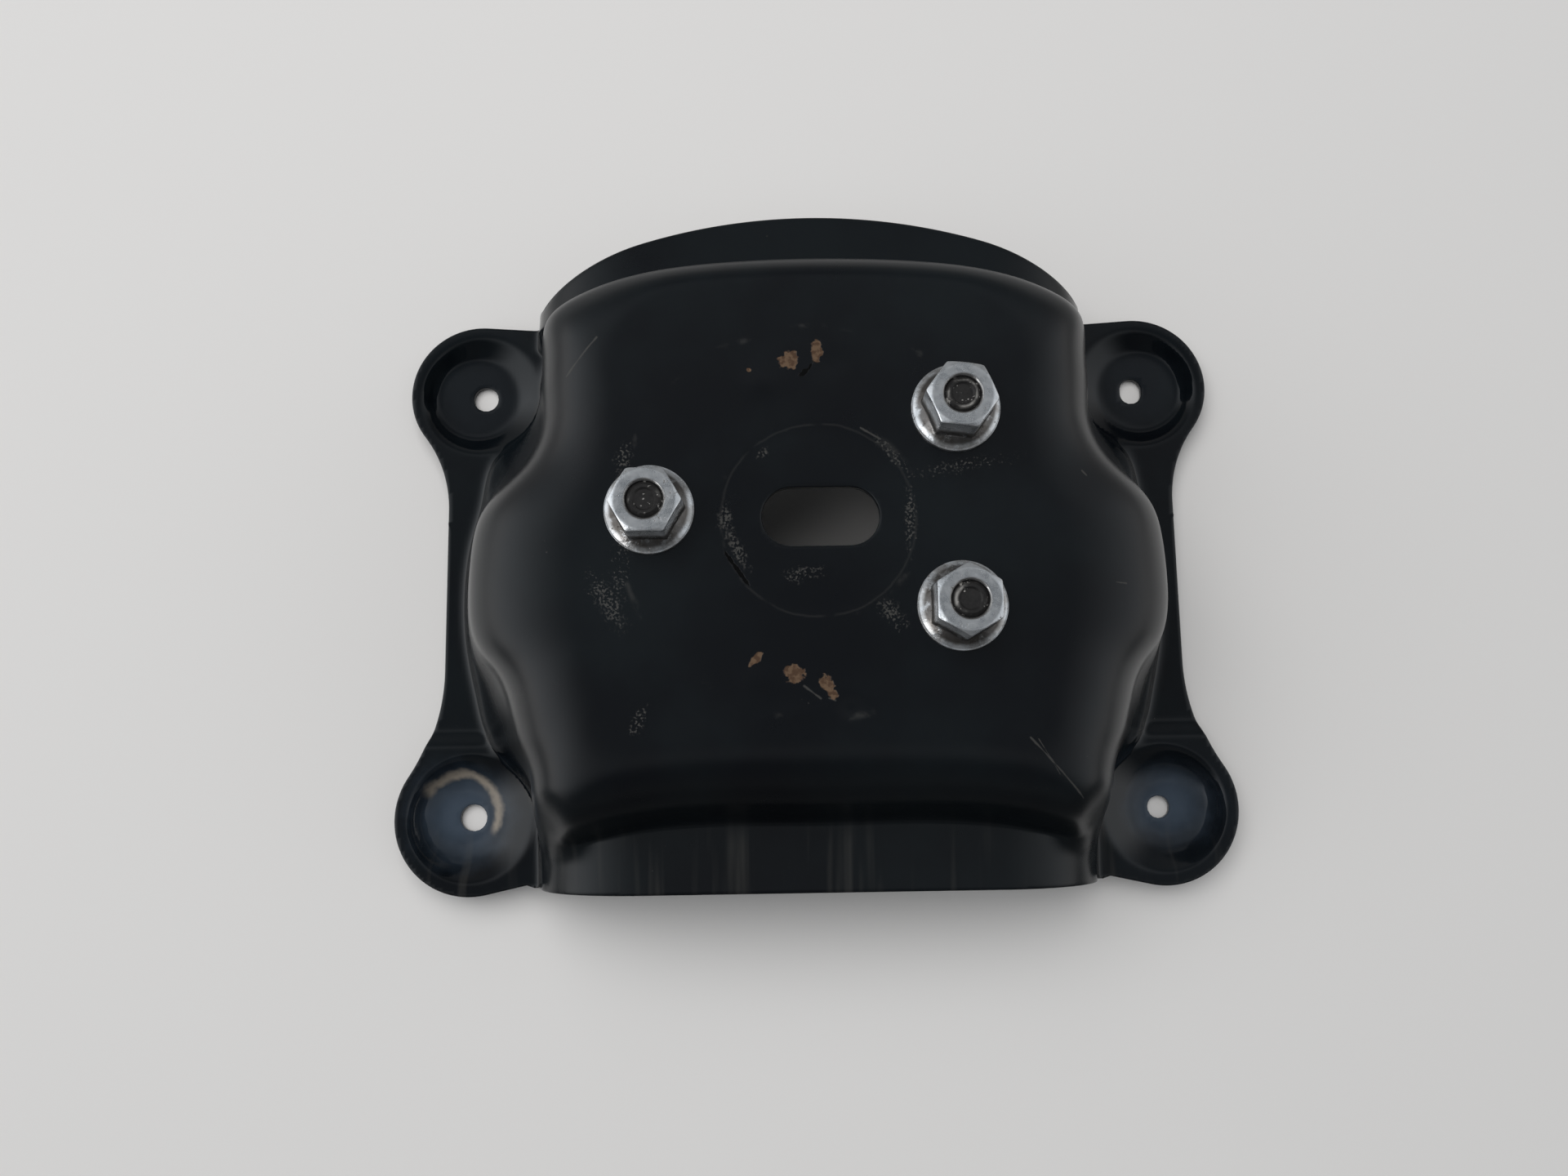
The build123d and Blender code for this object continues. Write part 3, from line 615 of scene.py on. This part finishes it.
def mesh_object(name, points, faces):
    """A smooth-shaded Blender object at the origin, from millimetre points and faces."""
    mesh = bpy.data.meshes.new(name)
    mesh.from_pydata(points * MM, [], faces.tolist())
    mesh.polygons.foreach_set("use_smooth", np.ones(len(mesh.polygons), bool))
    piece = bpy.data.objects.new(name, mesh)
    bpy.context.scene.collection.objects.link(piece)
    return piece


shell = sheet_mesh("dome_pressing")
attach(shell, "root")
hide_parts("bracket_shell")

# ------------------------------------------------------------------ nuts
NUT_TURNS = (0.0, -7.0, 30.0)
NUT_H, NUT_MIDDLE, NUT_FLAT_R, NUT_BORE_R, NUT_TOP_R = 18.1, 9.0, 10.5, 6.1, 9.9
NUT_FLANGE_R, NUT_FLANGE_H, NUT_FLANGE_EDGE, NUT_CONE_H = 15.05, 1.7, 14.55, 4.8
NUT_MOUTH = 0.6
HEX_SHARPNESS = 44


def softened(path, cuts):
    """A path whose inner corners become curves that start and end a cut's length away.

    Each curve is (1 - t)^2 a + 2 t (1 - t) corner + t^2 b."""
    corner = path[1:-1]
    ends = []
    for other in (path[:-2], path[2:]):
        gap = np.linalg.norm(other - corner, axis=-1, keepdims=True)
        ends.append(corner + (other - corner) * np.minimum(cuts[:, None, None] / gap, 0.45))
    t = np.linspace(0, 1, 6)[:, None, None, None]
    curve = (1 - t) ** 2 * ends[0] + 2 * t * (1 - t) * corner + t * t * ends[1]
    curve = curve.swapaxes(0, 1).reshape(-1, *path.shape[1:])
    return np.concatenate([path[:1], curve, path[-1:]])


def nut_mesh(name, place, turn):
    """One flange nut as a closed grid: a meridian path at each angle about its axis.

    With n = HEX_SHARPNESS the hexagon's reach is NUT_FLAT_R / (sum of cos(angle to each
    flat)^n)^(1/n), which rounds its six edges.  The flange falls from there on a cone, and the
    top is bevelled by 30 degrees."""
    angle = np.linspace(0, 2 * np.pi, 192, endpoint=False)
    flats = np.radians(turn + 30 + 60 * np.arange(6))
    facing = np.maximum(np.cos(angle[None] - flats[:, None]), 0)
    reach = NUT_FLAT_R / (facing**HEX_SHARPNESS).sum(axis=0) ** (1 / HEX_SHARPNESS)
    fall = (NUT_CONE_H - NUT_FLANGE_H) / (NUT_FLANGE_EDGE - NUT_FLAT_R)
    corners = (
        (NUT_BORE_R, NUT_MIDDLE), (NUT_BORE_R, 0.0), (NUT_FLANGE_R, 0.0),
        (NUT_FLANGE_R, NUT_FLANGE_H), (NUT_FLANGE_EDGE, NUT_FLANGE_H),
        (reach, NUT_CONE_H - (reach - NUT_FLAT_R) * fall),
        (reach, NUT_H - (reach - NUT_TOP_R) * np.tan(np.radians(30))),
        (NUT_TOP_R, NUT_H), (NUT_BORE_R + NUT_MOUTH, NUT_H),
        (NUT_BORE_R, NUT_H - NUT_MOUTH), (NUT_BORE_R, NUT_MIDDLE),
    )
    path = [np.broadcast_arrays(*corner, angle)[:2] for corner in corners]
    path = np.array(path).swapaxes(1, 2)
    # how far each of the path's inner corners is softened, from the bore's foot round
    cuts = np.array([0.2, 0.3, 0.4, 0.35, 0.7, 0.45, 0.55, 0.3, 0.25])
    path = softened(path, cuts)[:-1]
    radius, rise = path[..., 0], path[..., 1]
    points = np.stack([
        place[0] + radius * np.cos(angle), place[1] + radius * np.sin(angle), TOP_Z + rise
    ], 2)
    index = np.arange(radius.size).reshape(radius.shape)
    up, around = np.roll(index, -1, 0), np.roll(index, -1, 1)
    faces = np.stack([index, around, np.roll(around, -1, 0), up], 2)
    return mesh_object(name, points.reshape(-1, 3), faces.reshape(-1, 4))


nuts = []
for number, (place, turn) in enumerate(zip(STUD_PLACES, NUT_TURNS), 1):
    nut = nut_mesh(f"flange_nut_{number}", place, turn)
    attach(nut, "root")
    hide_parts(f"nut_{number}")
    nuts.append(nut)


# ------------------------------------------------------------------ shader building
# g stands for the node tree that is being filled
ORIGIN = (0.0, 0.0, 0.0)


def plug(g, socket, value):
    """Gives a socket a value of its own, or links another node's output to it."""
    if isinstance(value, bpy.types.NodeSocket):
        g.links.new(value, socket)
    else:
        socket.default_value = value


def put(g, kind, *values, **settings):
    """A shader node whose inputs are filled in order."""
    node = g.nodes.new("ShaderNode" + kind)
    for setting, value in settings.items():
        setattr(node, setting, value)
    for socket, value in zip(node.inputs, values):
        plug(g, socket, value)
    return node.outputs[0]


def maths(g, operation, *values):
    """One step of arithmetic."""
    return put(g, "Math", *values, operation=operation)


def times(g, first, *others):
    """The product of several values."""
    for value in others:
        first = maths(g, "MULTIPLY", first, value)
    return first


def inverse(g, value):
    """1 less a mask's value."""
    return maths(g, "SUBTRACT", 1.0, value)


def steps(g, operation, *values):
    """One step of vector arithmetic; lengths and dot products come out as a number."""
    out = put(g, "VectorMath", *values, operation=operation)
    return out.node.outputs["Value" if operation in ("LENGTH", "DOT_PRODUCT") else "Vector"]


def noise(g, place, scale, detail=3.0, roughness=0.6):
    """Cloudy noise from 0 to 1, its features 1 / scale metres wide."""
    node = put(g, "TexNoise", place).node
    node.inputs["Scale"].default_value = scale
    node.inputs["Detail"].default_value = detail
    node.inputs["Roughness"].default_value = roughness
    return node.outputs["Fac"]


def between(g, value, low, high):
    """Smooth step: 0 at low, 1 at high."""
    node = put(g, "MapRange", value, interpolation_type="SMOOTHSTEP").node
    plug(g, node.inputs["From Min"], low)
    plug(g, node.inputs["From Max"], high)
    return node.outputs["Result"]


def effect(name, mask, **inputs):
    """A node group that reads a Place and named inputs and gives a Mask, which the function
    called mask builds in the group's tree from its input values."""
    group = bpy.data.node_groups.new(name, "ShaderNodeTree")
    for label, value in {"Place": ORIGIN, **inputs}.items():
        kind = "NodeSocketVector" if isinstance(value, tuple) else "NodeSocketFloat"
        label = label.replace("_", " ")
        socket = group.interface.new_socket(label, in_out="INPUT", socket_type=kind)
        socket.default_value = value
    group.interface.new_socket("Mask", in_out="OUTPUT", socket_type="NodeSocketFloat")
    given = group.nodes.new("NodeGroupInput").outputs
    out = group.nodes.new("NodeGroupOutput").inputs
    group.links.new(mask(group, given), out["Mask"])
    return group


def used(g, group, place, **values):
    """A node group's output inside a material, read at these places."""
    node = g.nodes.new("ShaderNodeGroup")
    node.node_tree = group
    for label, value in {"Place": place, **values}.items():
        plug(g, node.inputs[label.replace("_", " ")], value)
    return node.outputs[0]


def worn_spot_mask(g, given):
    """A ragged patch: an ellipse about a middle, its edge pushed in and out by noise."""
    offset = steps(g, "SUBTRACT", given["Place"], given["Middle"])
    turned = put(g, "VectorRotate", offset, rotation_type="Z_AXIS").node
    g.links.new(given["Turn"], turned.inputs["Angle"])
    shaped = steps(g, "DIVIDE", turned.outputs[0], given["Half Sizes"])
    push = maths(g, "MULTIPLY_ADD", given["Noise"], given["Raggedness"],
                 times(g, given["Raggedness"], -0.5))
    gap = maths(g, "ADD", steps(g, "LENGTH", shaped), push)
    outer = maths(g, "ADD", 1.0, given["Edge"])
    return inverse(g, between(g, gap, inverse(g, given["Edge"]), outer))


def scratch_mask(g, given):
    """A thin straight scratch seen from above, from one place to another, a little wavy."""
    flat = steps(g, "MULTIPLY", given["Place"], (1.0, 1.0, 0.0))
    along = steps(g, "SUBTRACT", given["Stop"], given["Start"])
    offset = steps(g, "SUBTRACT", flat, given["Start"])
    share = put(g, "Clamp", maths(g, "DIVIDE", steps(g, "DOT_PRODUCT", offset, along),
                                  steps(g, "DOT_PRODUCT", along, along)))
    node = put(g, "VectorMath", along, operation="SCALE").node
    g.links.new(share, node.inputs["Scale"])
    gap = steps(g, "LENGTH", steps(g, "SUBTRACT", offset, node.outputs[0]))
    wave = maths(g, "MULTIPLY_ADD", given["Noise"], 0.0008, -0.0004)
    gap = maths(g, "ABSOLUTE", maths(g, "ADD", gap, wave))
    return inverse(g, between(g, gap, 0.0, given["Half Width"]))


def rub_ring_mask(g, given):
    """A round rub mark seen from above, broken where coarse noise is low."""
    offset = steps(g, "MULTIPLY", steps(g, "SUBTRACT", given["Place"], given["Middle"]),
                   (1.0, 1.0, 0.0))
    push = maths(g, "SUBTRACT", noise(g, given["Place"], 90.0), 0.5)
    push = times(g, push, given["Wander"])
    gap = maths(g, "SUBTRACT", maths(g, "ADD", steps(g, "LENGTH", offset), push),
                given["Radius"])
    line = inverse(g, between(g, maths(g, "ABSOLUTE", gap), 0.0, given["Half Width"]))
    gaps = inverse(g, given["Kept"])
    broken = between(g, noise(g, given["Place"], 70.0, 4.0), gaps, maths(g, "ADD", gaps, 0.12))
    return times(g, line, broken)


def dust_specks_mask(g, given):
    """Loose specks of dust: peaks of fine noise, thicker where coarse noise is high."""
    fine = put(g, "TexNoise", given["Place"]).node
    g.links.new(given["Grain"], fine.inputs["Scale"])
    coarse = noise(g, given["Place"], 45.0, 4.0)
    level = maths(g, "ADD", fine.outputs["Fac"], times(g, coarse, 0.5))
    low = maths(g, "SUBTRACT", 1.15, times(g, given["Amount"], 0.3))
    return between(g, level, low, maths(g, "ADD", low, 0.08))


# painted reflections: long streaks along Y, as the -Y collar mirrors its surroundings
def reflection_streaks_mask(g, given):
    """Long faint streaks along Y: noise stretched that way and cut off below a level."""
    long_way = steps(g, "MULTIPLY", given["Place"], (150.0, 9.0, 9.0))
    level = noise(g, long_way, 1.0, 2.0)
    low = maths(g, "SUBTRACT", 0.85, times(g, given["Amount"], 0.5))
    return between(g, level, low, maths(g, "ADD", low, 0.22))


worn_spot = effect(
    "worn_spot", worn_spot_mask, Middle=ORIGIN, Half_Sizes=(0.003, 0.003, 1.0), Turn=0.0,
    Noise=0.5, Raggedness=0.8, Edge=0.15,
)
scratch = effect(
    "scratch", scratch_mask, Start=ORIGIN, Stop=(0.01, 0.0, 0.0), Half_Width=0.0002, Noise=0.5,
)
rub_ring = effect(
    "rub_ring", rub_ring_mask, Middle=ORIGIN, Radius=0.03, Half_Width=0.0005, Kept=0.5,
    Wander=0.001,
)
dust_specks = effect("dust_specks", dust_specks_mask, Grain=700.0, Amount=0.5)
# painted reflection streaks for the -Y collar
reflection_streaks = effect("reflection_streaks", reflection_streaks_mask, Amount=0.5)


def principled(name, **values):
    """A material whose Principled shader has these values on its own sockets."""
    material = bpy.data.materials.new(name)
    material.use_nodes = True
    shader = material.node_tree.nodes["Principled BSDF"]
    for socket, value in values.items():
        shader.inputs[socket.replace("_", " ")].default_value = value
    place = material.node_tree.nodes.new("ShaderNodeTexCoord").outputs["Object"]
    return material, material.node_tree, shader, place


def strongest(g, masks):
    """The highest of several masks at each place."""
    result = masks[0]
    for mask in masks[1:]:
        result = maths(g, "MAXIMUM", result, mask)
    return result


def mixed(g, share, low, high):
    """A colour between two others."""
    node = g.nodes.new("ShaderNodeMix")
    node.data_type = "RGBA"
    g.links.new(share, node.inputs["Factor"])
    sockets = [socket for socket in node.inputs if socket.type == "RGBA"]
    for socket, value in zip(sockets, (low, high)):
        plug(g, socket, (*value, 1.0) if isinstance(value, tuple) else value)
    return next(socket for socket in node.outputs if socket.type == "RGBA")


def stained(g, colour, mask, amount, tint):
    """A colour with a stain over it where the mask shows, as strong there as the amount."""
    return mixed(g, times(g, mask, amount), colour, tint)


def fed(g, shader, height, distance, **sources):
    """Links outputs to a shader's sockets by name, and this height as its relief, distance
    metres for a height of 1."""
    for socket, source in sources.items():
        g.links.new(source, shader.inputs[socket.replace("_", " ")])
    node = g.nodes.new("ShaderNodeBump")
    node.inputs["Distance"].default_value = distance
    g.links.new(height, node.inputs["Height"])
    g.links.new(node.outputs[0], shader.inputs["Normal"])


# ------------------------------------------------------------------ black coat and its wear
# spots in mm seen from above: x, y, turn in degrees, half length, half width
CHIPS = (
    (-10.0, 57.2, 20, 3.3, 3.1), (-0.2, 60.3, 85, 3.7, 1.9), (-22.1, -44.4, 50, 2.9, 1.3),
    (-9.6, -49.7, 0, 3.1, 3.1), (1.0, -53.4, -70, 3.2, 2.0), (2.6, -56.2, -40, 2.4, 1.4),
    (-23.4, 53.7, 0, 0.9, 0.8),
)
NICKS = ((-4.6, 52.7, 35, 2.0, 0.9), (-2.6, 54.6, 60, 1.5, 0.5), (-28.2, -14.5, -55, 7.5, 0.7))
SMEARS = (
    (49.5, 19.8, 8, 11.5, 1.9), (-32.0, 2.6, 80, 3.4, 1.9), (-28.0, -7.5, -65, 6.0, 1.7),
    (-71.5, -24.0, -60, 8.0, 2.6), (-66.5, -12.0, 85, 10.0, 2.4), (-60.5, -64.0, 70, 4.5, 1.8),
    (23.6, -31.3, -50, 5.0, 2.4), (-66.0, 23.5, 80, 4.5, 2.2), (-19.5, 24.5, 45, 2.2, 1.1),
    (-6.0, -16.5, 10, 5.0, 1.8), (30.0, 1.5, 88, 9.0, 1.6), (24.5, 23.5, -50, 7.0, 1.5),
)
# spots where the cups are faintly paler and bluer
PALE_CUP_SPOTS = (
    (137.5, -97.7, 0, 15, 15), (-137.5, -97.7, 0, 15, 15), (134, -97.7, 0, 27, 27),
    (-136, 71.3, 0, 15, 15), (136, 71.3, 0, 15, 15),
)
# painted reflections: pale bluish patches in the -Y dishes
DISH_REFLECTIONS = ((-138.0, -96.0, 0, 14.5, 14.0), (137.0, -96.0, 0, 12.5, 11.0))
DIRTY_POCKET = ((105.5, -88.0, 90, 17, 6),)
# scratches in mm: from x, y to x, y, half width
SCRATCHES = (
    (66.9, -71.5, 85.3, -91.5, 0.42), (69.5, -72.0, 76.5, -83.5, 0.28),
    (-86.2, 53.9, -75.2, 66.1, 0.45), (-6.5, -53.7, -1.2, -57.8, 0.55),
    (1.5, -57.8, 3.6, -58.6, 0.5), (98.3, -20.4, 102.0, -20.7, 0.4),
    (88.9, 17.9, 90.3, 16.4, 0.45), (14.0, 33.0, 20.5, 29.0, 0.5),
)
BARE = (0.135, 0.085, 0.052)
RUST = (0.075, 0.042, 0.025)
DULL_GREY = (0.11, 0.105, 0.095)
# rub rings in metres: middle x and y, radius, half width, share kept, wander
HUB_RING = (-0.0008, 0.0018, 0.0327, 0.0007, 0.62, 0.002)
HUB_BAND = (-0.0008, 0.0018, 0.0345, 0.0022, 0.4, 0.004)
WHEEL_RING = (-0.0008, 0.002, 0.067, 0.0016, 0.45, 0.004)
# painted reflection: a tan arc in the left -Y dish
TAN_DISH_REFLECTION = (-0.1385, -0.0957, 0.0146, 0.0028, 0.72, 0.006)
NUT_MOUTHS = [(px * MM, py * MM, 0.0064, 0.0008, 0.9, 0.0005) for px, py in STUD_PLACES]
STUD_TIPS = [(px * MM, py * MM, 0.0046, 0.0009, 0.52, 0.0022) for px, py in STUD_PLACES]


def spots(g, place, rows, grain, **values):
    """The strongest of several worn spots, their edges ragged by noise of this grain."""
    rough = noise(g, place, grain, 2.0)
    return strongest(g, [
        used(g, worn_spot, place, Middle=(x * MM, y * MM, 0.09), Turn=-np.radians(turn),
             Half_Sizes=(long * MM, wide * MM, 0.5), Noise=rough, **values)
        for x, y, turn, long, wide in rows
    ])


def ring(g, place, row):
    """One rub ring from its row of sizes."""
    x, y, radius, half_width, kept, wander = row
    return used(g, rub_ring, place, Middle=(x, y, 0), Radius=radius,
                Half_Width=half_width, Kept=kept, Wander=wander)


def coat_dust_and_streaks(g, place, y, z):
    """Where the coat is dull and grey: smears, rub rings, specks and scratches, with painted
    reflection streaks on the -Y collar.
    """
    # painted reflection: faint streaks along Y on the -Y collar
    streaks = times(g, used(g, reflection_streaks, place, Amount=0.62),
                    between(g, times(g, y, -1.0), 0.096, 0.108))
    specks = used(g, dust_specks, place, Amount=0.35)
    smears = times(g, spots(g, place, SMEARS, 560.0, Raggedness=3.0, Edge=0.6),
                   used(g, dust_specks, place, Grain=1100.0, Amount=1.25))
    rings = times(g, strongest(g, [
        times(g, ring(g, place, row), amount)
        for row, amount in ((HUB_RING, 0.08), (HUB_BAND, 0.14), (WHEEL_RING, 0.15))
    ]), between(g, z, 0.086, 0.0885))
    waver = noise(g, place, 260.0, 2.0)
    lines = strongest(g, [
        used(g, scratch, place, Start=(x0 * MM, y0 * MM, 0), Stop=(x1 * MM, y1 * MM, 0),
             Half_Width=wide * MM, Noise=waver)
        for x0, y0, x1, y1, wide in SCRATCHES
    ])
    return strongest(g, [
        times(g, smears, 0.5), rings, times(g, specks, 0.3),
        times(g, streaks, 0.2), times(g, lines, 0.4),
    ])


def coat_material():
    """Glossy black coat: smudges, dust, chips, nicks and painted reflections in the -Y dishes.
    """
    material, g, shader, place = principled("black_gloss_coat", IOR=1.5)
    outer = put(g, "Attribute", attribute_name="outer_face").node.outputs["Fac"]
    x, y, z = put(g, "SeparateXYZ", place).node.outputs
    # dust marks, and the painted reflection streaks on the -Y collar among them
    dust = times(g, coat_dust_and_streaks(g, place, y, z), outer)
    colour = mixed(g, between(g, noise(g, place, 14.0, 5.0), 0.35, 0.65),
                   (0.0022, 0.0030, 0.0046), (0.0042, 0.0066, 0.0084))
    # faintly paler and bluer in the cups
    pale_cups = spots(g, place, PALE_CUP_SPOTS, 60.0, Raggedness=0.9, Edge=0.4)
    colour = stained(g, colour, pale_cups, 0.04, (0.10, 0.12, 0.15))
    # painted reflections: bluish film in the -Y dishes, tan arc on the left one's inner side
    low_down = times(g, inverse(g, between(g, z, 0.012, 0.018)), outer)
    # painted reflection, a pale bluish film low in the dishes
    film = times(g, spots(g, place, DISH_REFLECTIONS, 90.0, Raggedness=0.7, Edge=0.8), low_down)
    colour = stained(g, colour, film, 0.8, (0.065, 0.09, 0.125))
    inner_side = between(g, maths(g, "MULTIPLY_ADD", x, 0.57, y), -0.1775, -0.1720)
    tan_reflection = times(g, ring(g, place, TAN_DISH_REFLECTION), inner_side, low_down)
    colour = stained(g, colour, tan_reflection, 0.8, (0.36, 0.31, 0.25))
    pocket = spots(g, place, DIRTY_POCKET, 150.0, Raggedness=0.8, Edge=0.5)
    colour = stained(g, colour, pocket, 0.3, (0.07, 0.045, 0.03))
    # grey over the dust and over the painted reflection streaks
    colour = mixed(g, dust, colour, DULL_GREY)
    chips = times(g, spots(g, place, CHIPS, 420.0, Raggedness=1.5, Edge=0.12), outer)
    nicks = times(g, spots(g, place, NICKS, 500.0, Raggedness=1.4, Edge=0.2), outer)
    rusty = mixed(g, between(g, noise(g, place, 520.0, 4.0), 0.42, 0.58), BARE, RUST)
    colour = mixed(g, chips, colour, rusty)
    colour = mixed(g, nicks, colour, (0.0008, 0.0008, 0.0008))
    # duller where hands reach, on dust and the painted streaks, and on bare metal
    handled = times(g, between(g, z, 0.02, 0.045), outer)
    sheen = maths(g, "MULTIPLY_ADD", noise(g, place, 30.0, 6.0), 0.16, 0.02)
    sheen = maths(g, "MULTIPLY_ADD", handled, 0.2, sheen)
    sheen = maths(g, "ADD", sheen, times(g, dust, 0.5))
    sheen = strongest(g, [sheen, times(g, chips, 0.85), nicks])
    skin = times(g, noise(g, place, 1400.0, 2.0), 0.012)
    swell = times(g, noise(g, place, 90.0, 2.0), 0.12)
    pits = times(g, maths(g, "ADD", chips, nicks), -0.5)
    relief = maths(g, "ADD", maths(g, "ADD", skin, swell), pits)
    fed(g, shader, relief, 0.0004, Base_Color=colour, Roughness=sheen)
    return material


def inside_material():
    """Thinner black coat of the backing plate, dusty and a little rougher."""
    material, g, shader, place = principled("black_coat_inside", IOR=1.5)
    colour = mixed(g, noise(g, place, 30.0, 5.0), (0.004, 0.004, 0.005), (0.010, 0.010, 0.011))
    specks = used(g, dust_specks, place, Amount=0.45)
    colour = stained(g, colour, specks, 0.4, DULL_GREY)
    sheen = maths(g, "MULTIPLY_ADD", noise(g, place, 60.0), 0.2, 0.3)
    fed(g, shader, noise(g, place, 900.0), 0.00004, Base_Color=colour, Roughness=sheen)
    return material


def zinc_material():
    """Dull bright zinc: cloudy film, brown stains low down, painted shade in the groove
    about the hexagon's foot, dark mouths and scuffed spots.  Levels are metres above the feet."""
    material, g, shader, place = principled("zinc_plate", Metallic=0.9)
    z = put(g, "SeparateXYZ", place).node.outputs["Z"]
    cloud = noise(g, place, 260.0, 5.0)
    colour = mixed(g, between(g, cloud, 0.3, 0.7), (0.74, 0.77, 0.80), (0.96, 0.98, 1.0))
    stain = times(g, inverse(g, between(g, z, 0.0925, 0.097)),
                  between(g, noise(g, place, 170.0, 5.0), 0.42, 0.6))
    colour = stained(g, colour, stain, 0.45, (0.2, 0.16, 0.12))
    # painted shade: darker and browner in the groove where the hexagon meets the cone
    groove = times(g, between(g, z, 0.0921, 0.0932), inverse(g, between(g, z, 0.0965, 0.1015)),
                   between(g, cloud, 0.25, 0.48))
    colour = stained(g, colour, groove, 0.85, (0.06, 0.047, 0.036))
    spot = between(g, noise(g, place, 420.0, 5.0, 0.7), 0.6, 0.7)
    colour = stained(g, colour, spot, 0.7, (0.14, 0.11, 0.08))
    mouths = strongest(g, [ring(g, place, row) for row in NUT_MOUTHS])
    colour = stained(g, colour, mouths, 0.7, (0.12, 0.10, 0.08))
    sheen = maths(g, "MULTIPLY_ADD", cloud, 0.3, 0.14)
    sheen = maths(g, "ADD", sheen, times(g, spot, 0.3))
    dents = maths(g, "ADD", noise(g, place, 330.0, 3.0), times(g, spot, -0.4))
    fed(g, shader, dents, 0.00022, Base_Color=colour, Roughness=sheen)
    return material


def stud_material():
    """Dark phosphated steel, rubbed bright round the tip's chamfer, with bright nicks."""
    material, g, shader, place = principled("stud_steel", Metallic=0.5)
    colour = mixed(g, noise(g, place, 500.0, 4.0), (0.016, 0.016, 0.017),
                   (0.055, 0.052, 0.05))
    rubbed = strongest(g, [ring(g, place, row) for row in STUD_TIPS])
    nicks = between(g, noise(g, place, 640.0, 2.0), 0.64, 0.7)
    bright = strongest(g, [times(g, rubbed, 0.8), nicks])
    colour = mixed(g, bright, colour, (0.52, 0.5, 0.47))
    sheen = maths(g, "MULTIPLY_ADD", noise(g, place, 300.0), 0.3, 0.3)
    fed(g, shader, noise(g, place, 700.0, 4.0), 0.00012, Base_Color=colour, Roughness=sheen)
    return material


shell.data.materials.append(coat_material())
zinc = zinc_material()
for nut in nuts:
    nut.data.materials.append(zinc)
NODE_MATERIALS = {
    "backing": inside_material(), "stud": stud_material(),
    "bracket": shell.data.materials[0], "nut": zinc,
}
for name, node in nodes.items():
    if node.type == "MESH":
        node.data.materials.clear()
        node.data.materials.append(NODE_MATERIALS[name.split("_")[0]])

# ------------------------------------------------------------------ floor, light and camera
bpy.ops.mesh.primitive_plane_add(size=6, location=(0, 0, 0))
floor = bpy.context.object
floor.name = "floor"
# pale; mirrored in the coat it has painted shade: dark on the viewer's side, partly on the far
# side
paint, g, shader, place = principled("floor_paint", Roughness=0.6)
y = put(g, "SeparateXYZ", place).node.outputs["Y"]
# painted shade, seen only in the coat's reflections
viewer_side_shade = inverse(g, between(g, y, -0.17, -0.12))
far_side_shade = times(g, between(g, y, 0.12, 0.18), 0.6)
mirrored_ray = put(g, "LightPath").node.outputs["Is Glossy Ray"]
shade = times(g, maths(g, "ADD", viewer_side_shade, far_side_shade), mirrored_ray)
colour = mixed(g, shade, (0.86, 0.84, 0.82), (0.05, 0.05, 0.05))
g.links.new(colour, shader.inputs["Base Color"])
floor.data.materials.append(paint)

world = bpy.data.worlds.new("soft_room")
bpy.context.scene.world = world
world.use_nodes = True
g = world.node_tree
background = g.nodes["Background"]
toward = g.nodes.new("ShaderNodeTexCoord").outputs["Generated"]
x, y, z = put(g, "SeparateXYZ", toward).node.outputs
sky = put(g, "ValToRGB", z).node
stops = sky.color_ramp.elements
stops[0].position, stops[0].color = 0.0, (0.46, 0.45, 0.44, 1)
stops[1].position, stops[1].color = 1.0, (0.04, 0.044, 0.048, 1)
for height, level in ((0.3, 0.43), (0.57, 0.32), (0.81, 0.17), (0.95, 0.06)):
    stops.new(height).color = (level * 0.96, level, level * 1.04, 1)
# the viewer's side and the far end of the room are dark, and the right darker than the left
level = maths(g, "MULTIPLY_ADD", between(g, y, -0.75, -0.3), 2.3, 0.2)
far = maths(g, "MULTIPLY_ADD", between(g, y, 0.3, 0.8), -0.85, 1.0)
right = maths(g, "MULTIPLY_ADD", between(g, x, 0.0, 0.8), -0.4, 1.0)
g.links.new(sky.outputs[0], background.inputs["Color"])
g.links.new(times(g, level, far, right), background.inputs["Strength"])


def placed(name, data, location, turn):
    """A lamp or a camera put into the scene."""
    thing = bpy.data.objects.new(name, data)
    thing.location, thing.rotation_euler = location, turn
    bpy.context.scene.collection.objects.link(thing)
    return thing


def aimed(*direction):
    """The turn that points a lamp's -Z along a direction."""
    return Vector(direction).to_track_quat("-Z", "Y").to_euler()


softbox = bpy.data.lights.new("overhead_softbox", "AREA")
softbox.energy, softbox.size = 33, 2.2
lamp = placed("overhead_softbox", softbox, (-0.5, 0.7, 2.0), aimed(0.5, -0.7, -2.0))
lamp.visible_glossy = False

# a low lamp beside the part that lights the nuts alone and gives their plating its glints
glint = bpy.data.lights.new("nut_glint_lamp", "AREA")
glint.shape, glint.size, glint.energy = "DISK", 0.6, 3
lamp = placed("nut_glint_lamp", glint, (-1.3, -0.8, 0.75), aimed(1.3, 0.8, -0.7))
lit_pieces = bpy.data.collections.new("pieces_lit_by_glint_lamp")
for nut in nuts:
    lit_pieces.objects.link(nut)
lamp.light_linking.receiver_collection = lit_pieces

camera = bpy.data.cameras.new("camera")
camera.lens, camera.sensor_width = 28.125, 36.0
camera.clip_start, camera.clip_end = 0.01, 50
bpy.context.scene.camera = placed(
    "camera", camera, (-0.0171, -0.0793, 0.4908), Euler(np.radians((8.25, -0.51, -0.89)))
)
bpy.context.scene.view_settings.view_transform = "Standard"
